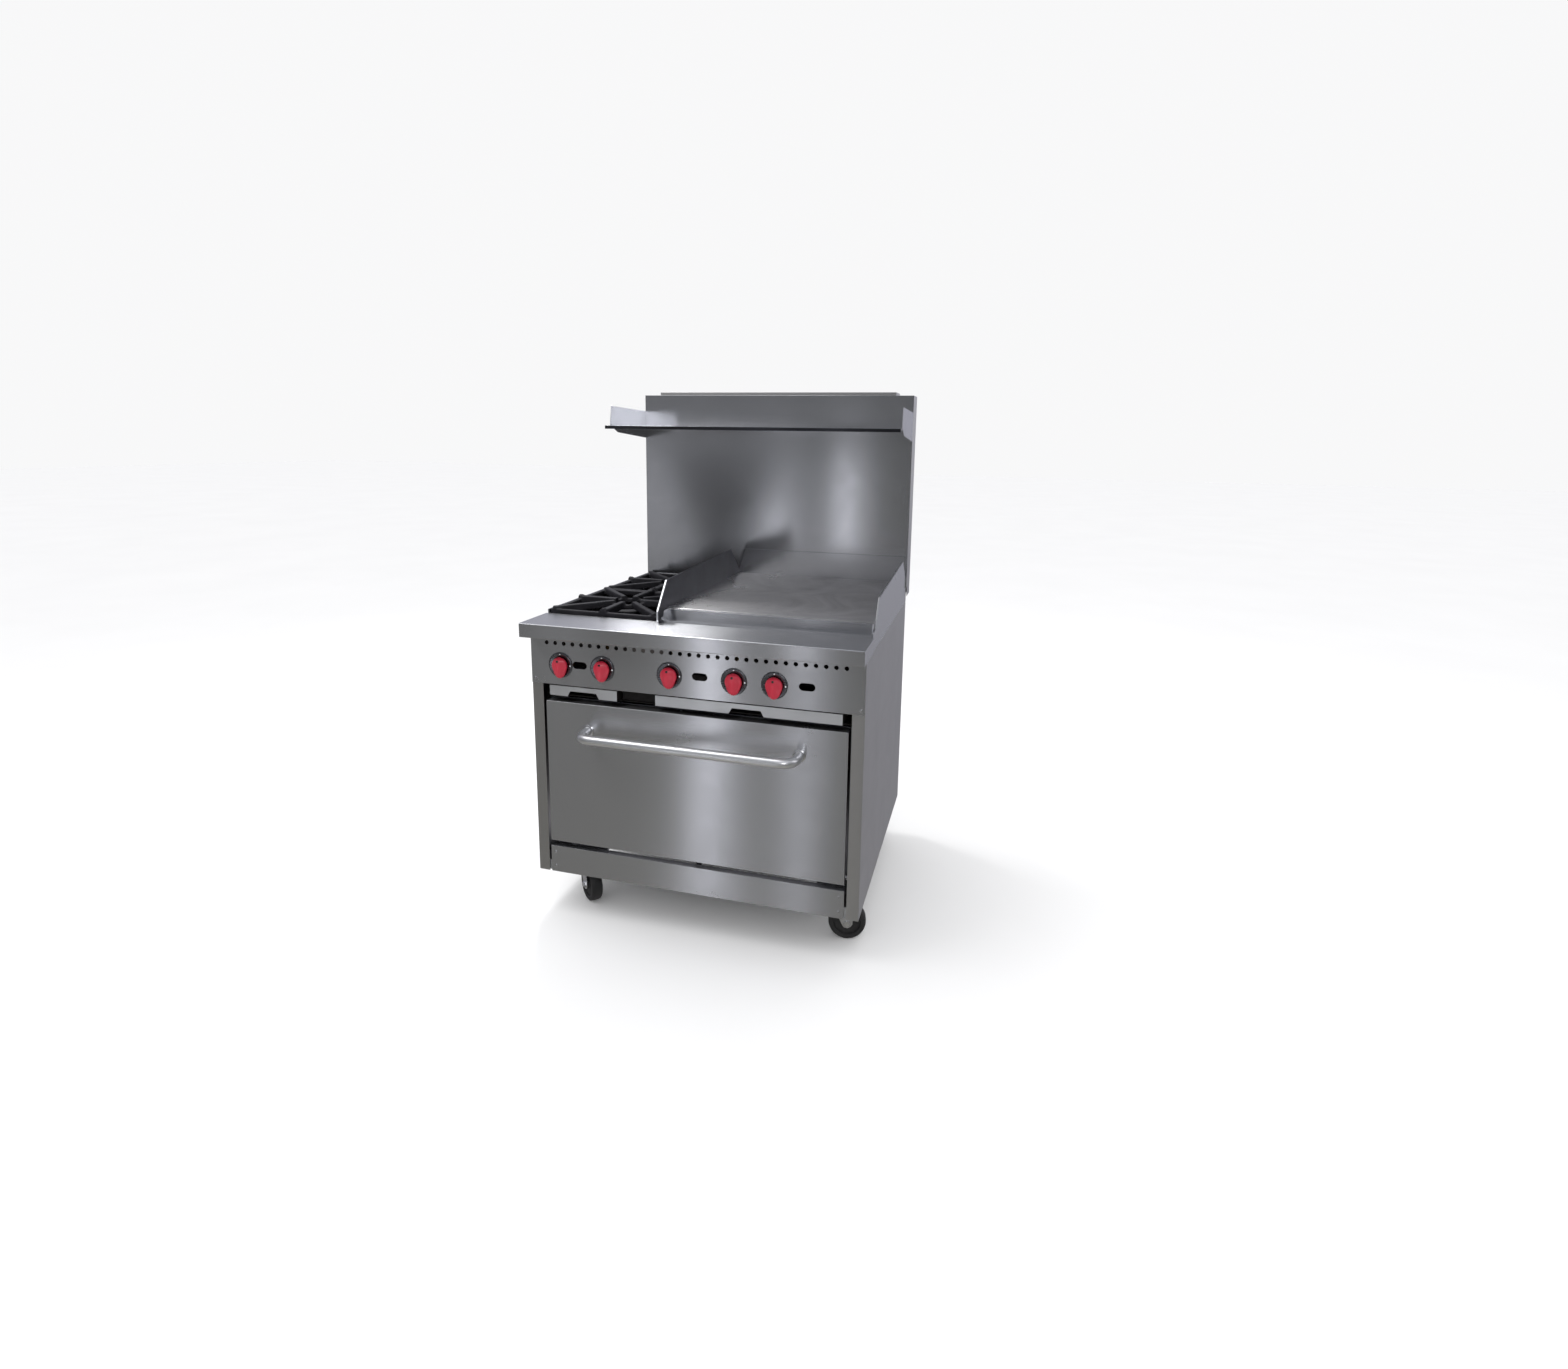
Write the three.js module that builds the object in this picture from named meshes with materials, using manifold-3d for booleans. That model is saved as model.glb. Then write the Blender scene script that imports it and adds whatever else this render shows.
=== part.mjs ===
// Commercial gas range: two open burners on the left, a steel griddle on the
// right, a full-width oven below and a flue riser with a high shelf behind.
// Millimetres, +Z up, the cook stands on the -Y side. The cabinet is modelled
// with y = 0 on its front plane, and one group moves it so that the origin is
// on the floor under the middle of the whole range.

import * as THREE from 'three';
import { mergeVertices } from 'three/addons/utils/BufferGeometryUtils.js';
import Module from 'manifold-3d';

const wasm = await Module();
wasm.setup();

// ---------------------------------------------------------------- dimensions

const GAP = 0.3; // clearance between pieces that touch
const SHEET = 1.5; // folded stainless sheet

const HALF_WIDTH = 457.2; // half of the 36 inch width
const BODY_HALF = 454.2; // outer face of a side panel
const INNER_HALF = BODY_HALF - SHEET - GAP;
const BODY_REAR = 774; // rear of the cabinet behind its front plane
const ORIGIN_BACK = 383.81; // the origin lies this far behind the front plane

const BODY_BOTTOM = 125;
const KICK_TOP = 202;
const DOOR_BOTTOM = 218;
const DOOR_TOP = 624;
const DECK_TOP = 639.7; // insulated cover over the oven, where the trays slide
const PANEL_BOTTOM = 672;
const LEDGE_BOTTOM = 807;
const LEDGE_TOP = 845;
const FRAME_TOP = 855.7; // top frame that carries the griddle and the grates
const GRIDDLE_TOP = 876;

const LEDGE_NOSE = -50;
const LEDGE_REAR = 85;
const TOP_FRONT = 88;

const POST_WIDTH = 32; // front flange of a side panel
const LIP_HALF = 418; // half width of what fits between the front flanges
const DOOR_HALF = 415.5;
const DOOR_DEPTH = 38;
const HINGE = { y: 20, z: 232, radius: 5 };

const HANDLE = { z: 550, half: 305, out: 62, radius: 12.7, bend: 36 };

const VENT = { count: 33, pitch: 25.4, radius: 5.3, z: 786 };
const KNOB_Z = 727;
const KNOB_X = {
  knob_burner_front: -366.5,
  knob_burner_rear: -244.3,
  knob_griddle_left: -55.1,
  knob_griddle_right: 119.9,
  knob_oven: 225.8,
};
const STEM_HOLE = 7; // radius of a valve stem's hole in the panel
const LIGHTING_SLOT = { xs: [-310.4, 28.2, 308.9], z: 730, length: 41, height: 19 };

const SPLASH = 5; // plate of the griddle splashes
const GRIDDLE_LEFT = -119.2; // outer face of the left splash
const GRIDDLE_FRONT = 125;
const RISER_FRONT = 752;
const RISER_REAR = 842;
const RISER_TOP = 1469;
const RISER_BOTTOM = 825;
const CAP_HALF = 401;
const CAP_TOP = 1479;

const SHELF = { z: 1362, front: 453, lip: 10, bracketFront: 486 };

const GRATE = { x0: -449, x1: -127, front: 88.5, length: 329, seat: 840, height: 24, wall: 13 };
const GRATE_PITCH = GRATE.length + 2;
const BURNER_Z = 790; // centre line of the gas tubes under the burners

const TRAY = { front: 2, length: 620, foot: 640, floor: 656, top: 668, sheet: 1.2 };

const OVEN = { half: 340, front: 46, rear: 700, bottom: 236, top: 606, wall: 2 };

const CASTER = { x: 370, front: 115, rear: 659, trail: 35, wheelRadius: 50.8, wheelHalf: 16 };
const AXLE_RADIUS = 5;

// ------------------------------------------------------------------- helpers

function box(x0, x1, y0, y1, z0, z1) {
  const geometry = new THREE.BoxGeometry(x1 - x0, y1 - y0, z1 - z0);
  return geometry.translate((x0 + x1) / 2, (y0 + y1) / 2, (z0 + z1) / 2);
}

function outline(points, holes = []) {
  const shape = new THREE.Shape(points.map(([a, b]) => new THREE.Vector2(a, b)));
  shape.holes = holes;
  return shape;
}

function extrude(shape, depth) {
  return new THREE.ExtrudeGeometry(shape, { depth, bevelEnabled: false, curveSegments: 8 });
}

// A (y, z) outline swept along X.
function prismX(shape, x0, x1) {
  const axes = new THREE.Matrix4().makeBasis(
    new THREE.Vector3(0, 1, 0), new THREE.Vector3(0, 0, 1), new THREE.Vector3(1, 0, 0));
  return extrude(shape, x1 - x0).applyMatrix4(axes).translate(x0, 0, 0);
}

// An (x, z) outline swept along Y.
function prismY(shape, y0, y1) {
  return extrude(shape, y1 - y0).rotateX(Math.PI / 2).translate(0, y1, 0);
}

// An (x, y) outline swept along Z.
function prismZ(shape, z0, z1) {
  return extrude(shape, z1 - z0).translate(0, 0, z0);
}

function cylinderX(radius, x0, x1, y, z, sides = 16) {
  const geometry = new THREE.CylinderGeometry(radius, radius, x1 - x0, sides);
  return geometry.rotateZ(Math.PI / 2).translate((x0 + x1) / 2, y, z);
}

function cylinderY(radius, y0, y1, x, z, sides = 16) {
  const geometry = new THREE.CylinderGeometry(radius, radius, y1 - y0, sides);
  return geometry.translate(x, (y0 + y1) / 2, z);
}

function cylinderZ(radius, z0, z1, x, y, sides = 16) {
  const geometry = new THREE.CylinderGeometry(radius, radius, z1 - z0, sides);
  return geometry.rotateX(Math.PI / 2).translate(x, y, (z0 + z1) / 2);
}

function toSolid(geometry) {
  const bare = geometry.clone();
  bare.deleteAttribute('normal');
  bare.deleteAttribute('uv');
  const merged = mergeVertices(bare, 1e-4);
  return new wasm.Manifold(new wasm.Mesh({
    numProp: 3,
    vertProperties: new Float32Array(merged.attributes.position.array),
    triVerts: new Uint32Array(merged.index.array),
  }));
}

function toGeometry(solid) {
  const mesh = solid.getMesh();
  const geometry = new THREE.BufferGeometry();
  geometry.setAttribute('position', new THREE.BufferAttribute(mesh.vertProperties, 3));
  geometry.setIndex(new THREE.BufferAttribute(mesh.triVerts, 1));
  return geometry;
}

function join(...geometries) {
  return toGeometry(geometries.map(toSolid).reduce((sum, next) => sum.add(next)));
}

function cut(geometry, ...tools) {
  return toGeometry(tools.map(toSolid).reduce((rest, tool) => rest.subtract(tool), toSolid(geometry)));
}

// A path through given stations, so that bends get many sections and straight
// runs only two.
class StationPath extends THREE.Curve {
  constructor(stations) {
    super();
    this.stations = stations;
  }
  getPoint(t) {
    return this.stations[Math.round(t * (this.stations.length - 1))].clone();
  }
  getPointAt(t) {
    return this.getPoint(t);
  }
  getTangentAt(t) {
    const last = this.stations.length - 1;
    const index = Math.round(t * last);
    const before = this.stations[Math.max(index - 1, 0)];
    const after = this.stations[Math.min(index + 1, last)];
    return after.clone().sub(before).normalize();
  }
}

// A round bar or tube along stations.
function roundBar(stations, radius, sides) {
  const circle = new THREE.Shape().absarc(0, 0, radius, 0, Math.PI * 2);
  const section = outline(circle.getSpacedPoints(sides).slice(0, -1).map((p) => [p.x, p.y]));
  return new THREE.ExtrudeGeometry(section, {
    steps: stations.length - 1,
    extrudePath: new StationPath(stations),
    bevelEnabled: false,
  });
}

function circleHole(x, z, radius, sides) {
  const points = [];
  for (let i = 0; i < sides; i += 1) {
    const angle = -2 * Math.PI * i / sides;
    points.push(new THREE.Vector2(x + radius * Math.cos(angle), z + radius * Math.sin(angle)));
  }
  return new THREE.Path(points);
}

// A shallow pan, open upward, on two side runners that reach below its floor.
function pan(x0, x1, y0, y1, foot, floor, top, sheet) {
  const outer = box(x0, x1, y0, y1, foot, top);
  const well = box(x0 + sheet, x1 - sheet, y0 + sheet, y1 - sheet, floor + sheet, top + 1);
  const under = box(x0 + sheet, x1 - sheet, y0 + sheet, y1 + 1, foot - 1, floor);
  return cut(outer, well, under);
}

// ----------------------------------------------------------------- materials

function finish(color, roughness, metalness) {
  return () => new THREE.MeshStandardMaterial({ color, roughness, metalness });
}

const stainless = finish(0x9a9a9c, 0.32, 1.0);
const darkSteel = finish(0x55585c, 0.5, 0.9);
const castIron = finish(0x141416, 0.75, 0.3);
const galvanised = finish(0x8c8f92, 0.5, 0.9);
const chromed = finish(0xd0d2d4, 0.12, 1.0);
const brassy = finish(0xb08d45, 0.35, 1.0);
const redPlastic = finish(0xc22f3c, 0.4, 0.0);
const blackRubber = finish(0x101010, 0.85, 0.0);
const fibreSeal = finish(0x6a675f, 0.95, 0.0);
const enamel = finish(0x23242a, 0.35, 0.0);

const range = new THREE.Group();
const cabinet = new THREE.Group();
cabinet.position.y = -ORIGIN_BACK;
range.add(cabinet);

function add(name, geometry, material, parent = cabinet) {
  const mesh = new THREE.Mesh(geometry, material());
  mesh.name = name;
  parent.add(mesh);
  return mesh;
}

// ------------------------------------------------------------ cabinet shells

function sidePanel(sign) {
  const inner = BODY_HALF - SHEET;
  const rearFlange = 20;
  const section = [
    [BODY_HALF, 0], [BODY_HALF, BODY_REAR], [BODY_HALF - rearFlange, BODY_REAR],
    [BODY_HALF - rearFlange, BODY_REAR - SHEET], [inner, BODY_REAR - SHEET],
    [inner, SHEET], [BODY_HALF - POST_WIDTH, SHEET], [BODY_HALF - POST_WIDTH, 0],
  ];
  const points = sign > 0 ? section : section.map(([x, y]) => [-x, y]);
  return prismZ(outline(points), BODY_BOTTOM, LEDGE_BOTTOM - GAP);
}

function baseFrame() {
  const rail = 45;
  const height = 30;
  const bottom = 127.3;
  const front = 3;
  const rear = 768;
  const ring = cut(
    box(-INNER_HALF, INNER_HALF, front, rear, bottom, bottom + height),
    box(-INNER_HALF + rail, INNER_HALF - rail, front + rail, rear - rail, bottom - 1, bottom + height + 1));
  const pad = { halfX: 55, halfY: 60, thick: 6 };
  const pads = [];
  for (const sign of [-1, 1]) {
    for (const y of [CASTER.front, CASTER.rear]) {
      const x = sign * CASTER.x;
      pads.push(box(x - pad.halfX, x + pad.halfX, y - pad.halfY, y + pad.halfY,
        bottom, bottom + pad.thick));
    }
  }
  return join(ring, ...pads);
}

function controlPanel() {
  const holes = [];
  const firstVent = -VENT.pitch * (VENT.count - 1) / 2;
  for (let i = 0; i < VENT.count; i += 1) {
    holes.push(circleHole(firstVent + i * VENT.pitch, VENT.z, VENT.radius, 8));
  }
  for (const x of Object.values(KNOB_X)) {
    holes.push(circleHole(x, KNOB_Z, STEM_HOLE, 12));
  }
  const slotRadius = LIGHTING_SLOT.height / 2;
  const reach = LIGHTING_SLOT.length / 2 - slotRadius;
  for (const x of LIGHTING_SLOT.xs) {
    const slot = new THREE.Path();
    slot.absarc(x + reach, LIGHTING_SLOT.z, slotRadius, Math.PI / 2, -Math.PI / 2, true);
    slot.absarc(x - reach, LIGHTING_SLOT.z, slotRadius, -Math.PI / 2, -3 * Math.PI / 2, true);
    holes.push(slot);
  }
  const top = LEDGE_BOTTOM - GAP;
  const face = outline([
    [-BODY_HALF, PANEL_BOTTOM], [BODY_HALF, PANEL_BOTTOM], [BODY_HALF, top], [-BODY_HALF, top],
  ], holes);
  const lip = box(-LIP_HALF, LIP_HALF, -SHEET - GAP, 14, PANEL_BOTTOM, PANEL_BOTTOM + SHEET);
  return join(prismY(face, -SHEET - GAP, -GAP), lip);
}

function frontLedge() {
  const nose = 2.5;
  const top = LEDGE_TOP;
  const bottom = LEDGE_BOTTOM;
  const outer = new THREE.Shape();
  outer.moveTo(LEDGE_REAR, top);
  outer.lineTo(LEDGE_NOSE + nose, top);
  outer.absarc(LEDGE_NOSE + nose, top - nose, nose, Math.PI / 2, Math.PI, false);
  outer.absarc(LEDGE_NOSE + nose, bottom + nose, nose, Math.PI, 3 * Math.PI / 2, false);
  outer.lineTo(-SHEET - GAP, bottom);
  outer.lineTo(LEDGE_REAR, bottom);
  const block = prismX(outer, -HALF_WIDTH, HALF_WIDTH);
  const hollow = new THREE.Shape();
  hollow.moveTo(LEDGE_REAR - SHEET, bottom + SHEET);
  hollow.lineTo(LEDGE_REAR - SHEET, top - SHEET);
  hollow.lineTo(LEDGE_NOSE + nose, top - SHEET);
  hollow.absarc(LEDGE_NOSE + nose, top - nose, nose - SHEET, Math.PI / 2, Math.PI, false);
  hollow.absarc(LEDGE_NOSE + nose, bottom + nose, nose - SHEET, Math.PI, 3 * Math.PI / 2, false);
  const inside = prismX(hollow, -HALF_WIDTH + SHEET, HALF_WIDTH - SHEET);
  const open = box(-HALF_WIDTH + SHEET, HALF_WIDTH - SHEET, 2, LEDGE_REAR - SHEET,
    bottom - 1, bottom + 2 * SHEET);
  return cut(block, inside, open);
}

function kickPanel() {
  const lip = 20;
  return prismX(outline([
    [0, BODY_BOTTOM], [lip, BODY_BOTTOM], [lip, BODY_BOTTOM + SHEET], [SHEET, BODY_BOTTOM + SHEET],
    [SHEET, KICK_TOP - SHEET], [lip, KICK_TOP - SHEET], [lip, KICK_TOP], [0, KICK_TOP],
  ]), -LIP_HALF + 2, LIP_HALF - 2);
}

// The grates sit in a rebate that is open to the front, with their rims level
// with the frame.
function topFrame() {
  const wall = 14;
  const front = TOP_FRONT + 12;
  const left = -BODY_HALF;
  const right = BODY_HALF;
  const middle = { left: -124, right: -114.2 };
  const above = FRAME_TOP + 1;
  const below = LEDGE_BOTTOM - 1;
  const troughSeat = 836;
  const clearance = 1.5;
  const grateRear = GRATE.front + GRATE_PITCH + GRATE.length;
  const rest = 10;
  return cut(
    box(left, right, TOP_FRONT, BODY_REAR, LEDGE_BOTTOM, FRAME_TOP),
    box(GRATE.x0 - clearance, middle.left, TOP_FRONT - 1, grateRear + clearance, GRATE.seat, above),
    box(left + wall, GRATE.x1 - rest, front, grateRear - rest, below, above),
    box(middle.right, right - wall, front, BODY_REAR - wall, below, above),
    box(middle.right, right - SPLASH, TOP_FRONT - 1, GRIDDLE_FRONT, troughSeat, above));
}

const GAS_PIPE = { y: 62, x: 412, radius: 13.35 };

add('base_frame', baseFrame(), galvanised);
add('side_panel_left', sidePanel(-1), stainless);
add('side_panel_right', sidePanel(1), stainless);
add('rear_panel', cut(
  box(-INNER_HALF, INNER_HALF, BODY_REAR - 3.3, BODY_REAR - SHEET - GAP, 127.5, LEDGE_BOTTOM - GAP),
  cylinderY(16, BODY_REAR - 10, BODY_REAR + 10, GAS_PIPE.x, KNOB_Z)), galvanised);
add('front_ledge', frontLedge(), stainless);
add('control_panel', controlPanel(), stainless);
add('kick_panel', kickPanel(), stainless);
add('top_frame', topFrame(), stainless);
add('tray_deck', box(-LIP_HALF, LIP_HALF, 20, 760, DECK_TOP - 2.7, DECK_TOP), galvanised);

// ------------------------------------------------------------------- griddle

const PLATE_LEFT = GRIDDLE_LEFT + SPLASH + GAP;
const PLATE_RIGHT = BODY_HALF - SPLASH - GAP;
const SPLASH_REAR = RISER_FRONT - GAP;
const PLATE_BOTTOM = FRAME_TOP + GAP;

function splashLeft() {
  return prismX(outline([
    [85.3, LEDGE_TOP + GAP], [87, PLATE_BOTTOM], [SPLASH_REAR, PLATE_BOTTOM], [SPLASH_REAR, 884],
    [662, 966], [126, 951], [66, 876], [66, 852], [72, LEDGE_TOP + GAP],
  ]), GRIDDLE_LEFT, GRIDDLE_LEFT + SPLASH);
}

function splashRight() {
  return prismX(outline([
    [136, PLATE_BOTTOM], [SPLASH_REAR, PLATE_BOTTOM], [SPLASH_REAR, 884], [662, 954], [188, 930],
  ]), BODY_HALF - SPLASH, BODY_HALF);
}

function greaseTrough() {
  const front = TOP_FRONT - 2.7;
  const rear = GRIDDLE_FRONT - GAP;
  const floor = 838;
  const lip = 850;
  const channel = cut(
    box(PLATE_LEFT, PLATE_RIGHT, front, rear, floor, GRIDDLE_TOP - 4),
    box(PLATE_LEFT + SHEET, PLATE_RIGHT - SHEET, front + SHEET, rear - SHEET, floor + SHEET, GRIDDLE_TOP),
    box(PLATE_LEFT - 1, PLATE_RIGHT + 1, front - 1, front + 14, lip, GRIDDLE_TOP));
  const spout = { right: PLATE_LEFT + 13, front: 102, rear: 120, bottom: 690 };
  const duct = box(PLATE_LEFT, spout.right, spout.front, spout.rear, spout.bottom, floor + SHEET);
  const bore = box(PLATE_LEFT + SHEET, spout.right - SHEET, spout.front + SHEET, spout.rear - SHEET,
    spout.bottom - 10, floor + 10);
  return cut(join(channel, duct), bore);
}

add('griddle_plate', box(PLATE_LEFT, PLATE_RIGHT, GRIDDLE_FRONT, SPLASH_REAR - SPLASH - GAP,
  PLATE_BOTTOM, GRIDDLE_TOP), darkSteel);
add('griddle_splash_left', splashLeft(), darkSteel);
add('griddle_splash_right', splashRight(), stainless);
add('griddle_splash_rear', box(PLATE_LEFT, PLATE_RIGHT, SPLASH_REAR - SPLASH, SPLASH_REAR,
  PLATE_BOTTOM, 958), stainless);
add('grease_trough', greaseTrough(), stainless);

// --------------------------------------------------- open burners and grates

// The grate is modelled about the middle of its underside: a rim and a hub
// ring, eight fingers between them and a horn in the middle of each side.
function grate() {
  const { wall, height } = GRATE;
  const halfX = (GRATE.x1 - GRATE.x0) / 2;
  const halfY = GRATE.length / 2;
  const railTop = 16;
  const hub = { outer: 54, inner: 42, bottom: 2, top: 14 };
  const finger = { half: 9, bottom: 4, start: 44 };
  const horn = { half: 17, tip: 4, bottom: 2, top: height + 4 };
  const rim = cut(
    box(-halfX, halfX, -halfY, halfY, 0, railTop),
    box(-halfX + wall, halfX - wall, -halfY + wall, halfY - wall, -1, railTop + 1));
  const ring = cut(
    cylinderZ(hub.outer, hub.bottom, hub.top, 0, 0, 24),
    cylinderZ(hub.inner, hub.bottom - 1, hub.top + 1, 0, 0, 24));
  const corner = Math.atan2(halfY, halfX);
  const diagonal = Math.hypot(halfX, halfY) - 12;
  const reaches = [
    [0, halfX - 2], [Math.PI / 2, halfY - 2], [Math.PI, halfX - 2], [-Math.PI / 2, halfY - 2],
    [corner, diagonal], [Math.PI - corner, diagonal], [Math.PI + corner, diagonal], [-corner, diagonal],
  ];
  const fingers = reaches.map(([angle, reach]) => box(
    finger.start, reach, -finger.half, finger.half, finger.bottom, height).rotateZ(angle));
  const hornFace = outline([
    [-horn.half, horn.bottom], [horn.half, horn.bottom],
    [horn.half, railTop], [horn.tip, horn.top], [-horn.tip, horn.top], [-horn.half, railTop],
  ]);
  const horns = [
    prismX(hornFace, -halfX, wall - halfX), prismX(hornFace, halfX - wall, halfX),
    prismY(hornFace, -halfY, wall - halfY), prismY(hornFace, halfY - wall, halfY),
  ];
  return join(rim, ring, ...fingers, ...horns);
}

const GRATE_X = (GRATE.x0 + GRATE.x1) / 2;
const GRATE_Y = [GRATE.front + GRATE.length / 2, GRATE.front + GRATE_PITCH + GRATE.length / 2];

for (const [index, name] of ['grate_front', 'grate_rear'].entries()) {
  const mesh = add(name, grate(), castIron);
  mesh.position.set(GRATE_X, GRATE_Y[index], GRATE.seat + GAP);
}

// A burner head on a cast stem, with its mixing tube reaching forward to the
// valve. The head is at the origin, and the tube lies at x = tubeX.
function openBurner(tubeX, tubeFront) {
  const head = cylinderZ(46, 820, 834, 0, 0, 24);
  const crown = cylinderZ(30, 833, 838, 0, 0, 24);
  const stem = cylinderZ(18, BURNER_Z, 821, 0, 0, 16);
  const arm = cylinderX(11, Math.min(tubeX, 0), Math.max(tubeX, 0), 0, BURNER_Z, 12);
  const elbow = new THREE.SphereGeometry(13, 12, 8).translate(tubeX, 0, BURNER_Z);
  const tube = cylinderY(11, tubeFront, 0, tubeX, BURNER_Z, 12);
  const mouth = cylinderY(16, tubeFront - 2, tubeFront + 18, tubeX, BURNER_Z, 12);
  return join(head, crown, stem, arm, elbow, tube, mouth);
}

const TUBE_FRONT = 80;
for (const [index, name] of ['front', 'rear'].entries()) {
  const valveX = KNOB_X[`knob_burner_${name}`];
  const mesh = add(`burner_${name}`, openBurner(valveX - GRATE_X, TUBE_FRONT - GRATE_Y[index]), castIron);
  mesh.position.set(GRATE_X, GRATE_Y[index], 0);
}

// A griddle burner is a loop of tube with two legs under the plate.
function griddleBurner(feedX, leftX, rightX) {
  const radius = 12;
  const front = 160;
  const rear = 690;
  const pieces = [
    cylinderY(radius, front, rear, leftX, BURNER_Z, 8),
    cylinderY(radius, front, rear, rightX, BURNER_Z, 8),
    cylinderX(radius, Math.min(feedX, leftX), rightX, front, BURNER_Z, 8),
    cylinderX(radius, leftX, rightX, rear, BURNER_Z, 8),
    cylinderY(radius, TUBE_FRONT, front, feedX, BURNER_Z, 8),
    cylinderY(16, TUBE_FRONT - 2, TUBE_FRONT + 18, feedX, BURNER_Z, 8),
  ];
  const corners = [[feedX, front], [leftX, front], [rightX, front], [leftX, rear], [rightX, rear]];
  for (const [x, y] of corners) {
    pieces.push(new THREE.SphereGeometry(radius + 2, 8, 6).translate(x, y, BURNER_Z));
  }
  return join(...pieces);
}

add('griddle_burner_left', griddleBurner(KNOB_X.knob_griddle_left, -40, 92), castIron);
add('griddle_burner_right', griddleBurner(KNOB_X.knob_griddle_right, 242, 374), castIron);

// ------------------------------------------------------------ gas and controls

add('manifold_pipe', join(
  cylinderX(GAS_PIPE.radius, -410, GAS_PIPE.x, GAS_PIPE.y, KNOB_Z, 12),
  new THREE.SphereGeometry(19, 12, 8).translate(GAS_PIPE.x, GAS_PIPE.y, KNOB_Z),
  cylinderY(GAS_PIPE.radius, GAS_PIPE.y, 782, GAS_PIPE.x, KNOB_Z, 12)), darkSteel);

add('gas_regulator', join(
  cylinderY(17, 782 + GAP, 803, GAS_PIPE.x, KNOB_Z + 5, 12),
  cylinderZ(28, KNOB_Z - 8, KNOB_Z + 22, GAS_PIPE.x, 812, 20),
  cylinderZ(11, KNOB_Z - 40, KNOB_Z + 3, GAS_PIPE.x, 812, 10)), brassy);

const STEM_RADIUS = 4;
const STEM_FRONT = -17;

// Gas valve: body on the manifold, stem through the panel, outlet tube up to
// the burner mouth. The stem lies on the local Y axis at z = 0.
function gasValve() {
  const rise = BURNER_Z - KNOB_Z;
  return join(
    box(-13, 13, 6, GAS_PIPE.y - GAS_PIPE.radius - GAP, -14, 14),
    cylinderY(STEM_RADIUS, STEM_FRONT, 8, 0, 0, 12),
    cylinderZ(6, 0, rise, 0, 30, 10),
    new THREE.SphereGeometry(7, 10, 6).translate(0, 30, rise),
    cylinderY(6, 30, TUBE_FRONT - 4, 0, rise, 10));
}

const VALVES = {
  valve_burner_front: KNOB_X.knob_burner_front,
  valve_burner_rear: KNOB_X.knob_burner_rear,
  valve_griddle_left: KNOB_X.knob_griddle_left,
  valve_griddle_right: KNOB_X.knob_griddle_right,
};
for (const [name, x] of Object.entries(VALVES)) {
  add(name, gasValve(), brassy).position.set(x, 0, KNOB_Z);
}

add('oven_thermostat', join(
  box(-25, 25, 6, GAS_PIPE.y - GAS_PIPE.radius - GAP, -28, 28),
  cylinderY(STEM_RADIUS, STEM_FRONT, 8, 0, 0, 12)), brassy).position.set(KNOB_X.knob_oven, 0, KNOB_Z);

// Knob: a grip that narrows to a point below, on a round hub with a blind bore.
function knob() {
  const grip = new THREE.Shape();
  grip.absarc(0, 0, 22.5, -0.3, Math.PI + 0.3, false);
  grip.bezierCurveTo(-19, -18, -10, -35, 0, -35);
  grip.bezierCurveTo(10, -35, 19, -18, 22.5 * Math.cos(0.3), -22.5 * Math.sin(0.3));
  const body = prismY(grip, -22, -6.3);
  const hub = cylinderY(19, -7, -2.4, 0, 0, 24);
  return cut(join(body, hub), cylinderY(STEM_RADIUS + 1, STEM_FRONT - 2, 0, 0, 0, 12));
}

for (const [name, x] of Object.entries(KNOB_X)) {
  add(name, knob(), redPlastic).position.set(x, 0, KNOB_Z);
}

// ------------------------------------------------------------ trays and drawer

function dripTray(x0, x1) {
  const middle = (x0 + x1) / 2;
  const notch = prismY(outline([
    [middle - 47, TRAY.foot - 1], [middle + 47, TRAY.foot - 1],
    [middle + 38, TRAY.floor - 1], [middle - 38, TRAY.floor - 1],
  ]), TRAY.front - 1, TRAY.front + 5);
  const rear = TRAY.front + TRAY.length;
  return cut(pan(x0, x1, TRAY.front, rear, TRAY.foot, TRAY.floor, TRAY.top, TRAY.sheet), notch);
}

add('drip_tray_left', dripTray(-404, -206), galvanised);
add('drip_tray_right', dripTray(-97, 399), galvanised);

const drawerPan = pan(-200, -103, 24, 324, TRAY.foot, TRAY.foot + 4, TRAY.top, TRAY.sheet);
const drawerPull = box(-190, -113, 12, 25, TRAY.top - 4, TRAY.top - 2);
add('grease_drawer', join(drawerPan, drawerPull), galvanised);

// --------------------------------------------------------------- riser, shelf

function riserShell() {
  const front = RISER_FRONT + SHEET + GAP;
  const walls = outline([
    [-HALF_WIDTH, front], [-HALF_WIDTH + SHEET, front], [-HALF_WIDTH + SHEET, RISER_REAR - SHEET],
    [HALF_WIDTH - SHEET, RISER_REAR - SHEET], [HALF_WIDTH - SHEET, front], [HALF_WIDTH, front],
    [HALF_WIDTH, RISER_REAR], [-HALF_WIDTH, RISER_REAR],
  ]);
  const shell = join(
    prismZ(walls, RISER_BOTTOM, RISER_TOP),
    box(-HALF_WIDTH, HALF_WIDTH, front, RISER_REAR, RISER_TOP - SHEET, RISER_TOP),
    box(-CAP_HALF, CAP_HALF, front, RISER_REAR, RISER_TOP - SHEET, CAP_TOP));
  const underCap = CAP_HALF - SHEET;
  const outlet = { half: 370, front: 778, rear: 826 };
  return cut(
    shell,
    box(-HALF_WIDTH - 1, HALF_WIDTH + 1, front - 1, BODY_REAR + GAP, RISER_BOTTOM - 1, FRAME_TOP + GAP),
    box(-underCap, underCap, front + SHEET, RISER_REAR - SHEET, RISER_TOP - 5, CAP_TOP - SHEET),
    box(-outlet.half, outlet.half, outlet.front, outlet.rear, CAP_TOP - 5, CAP_TOP + 1));
}

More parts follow.
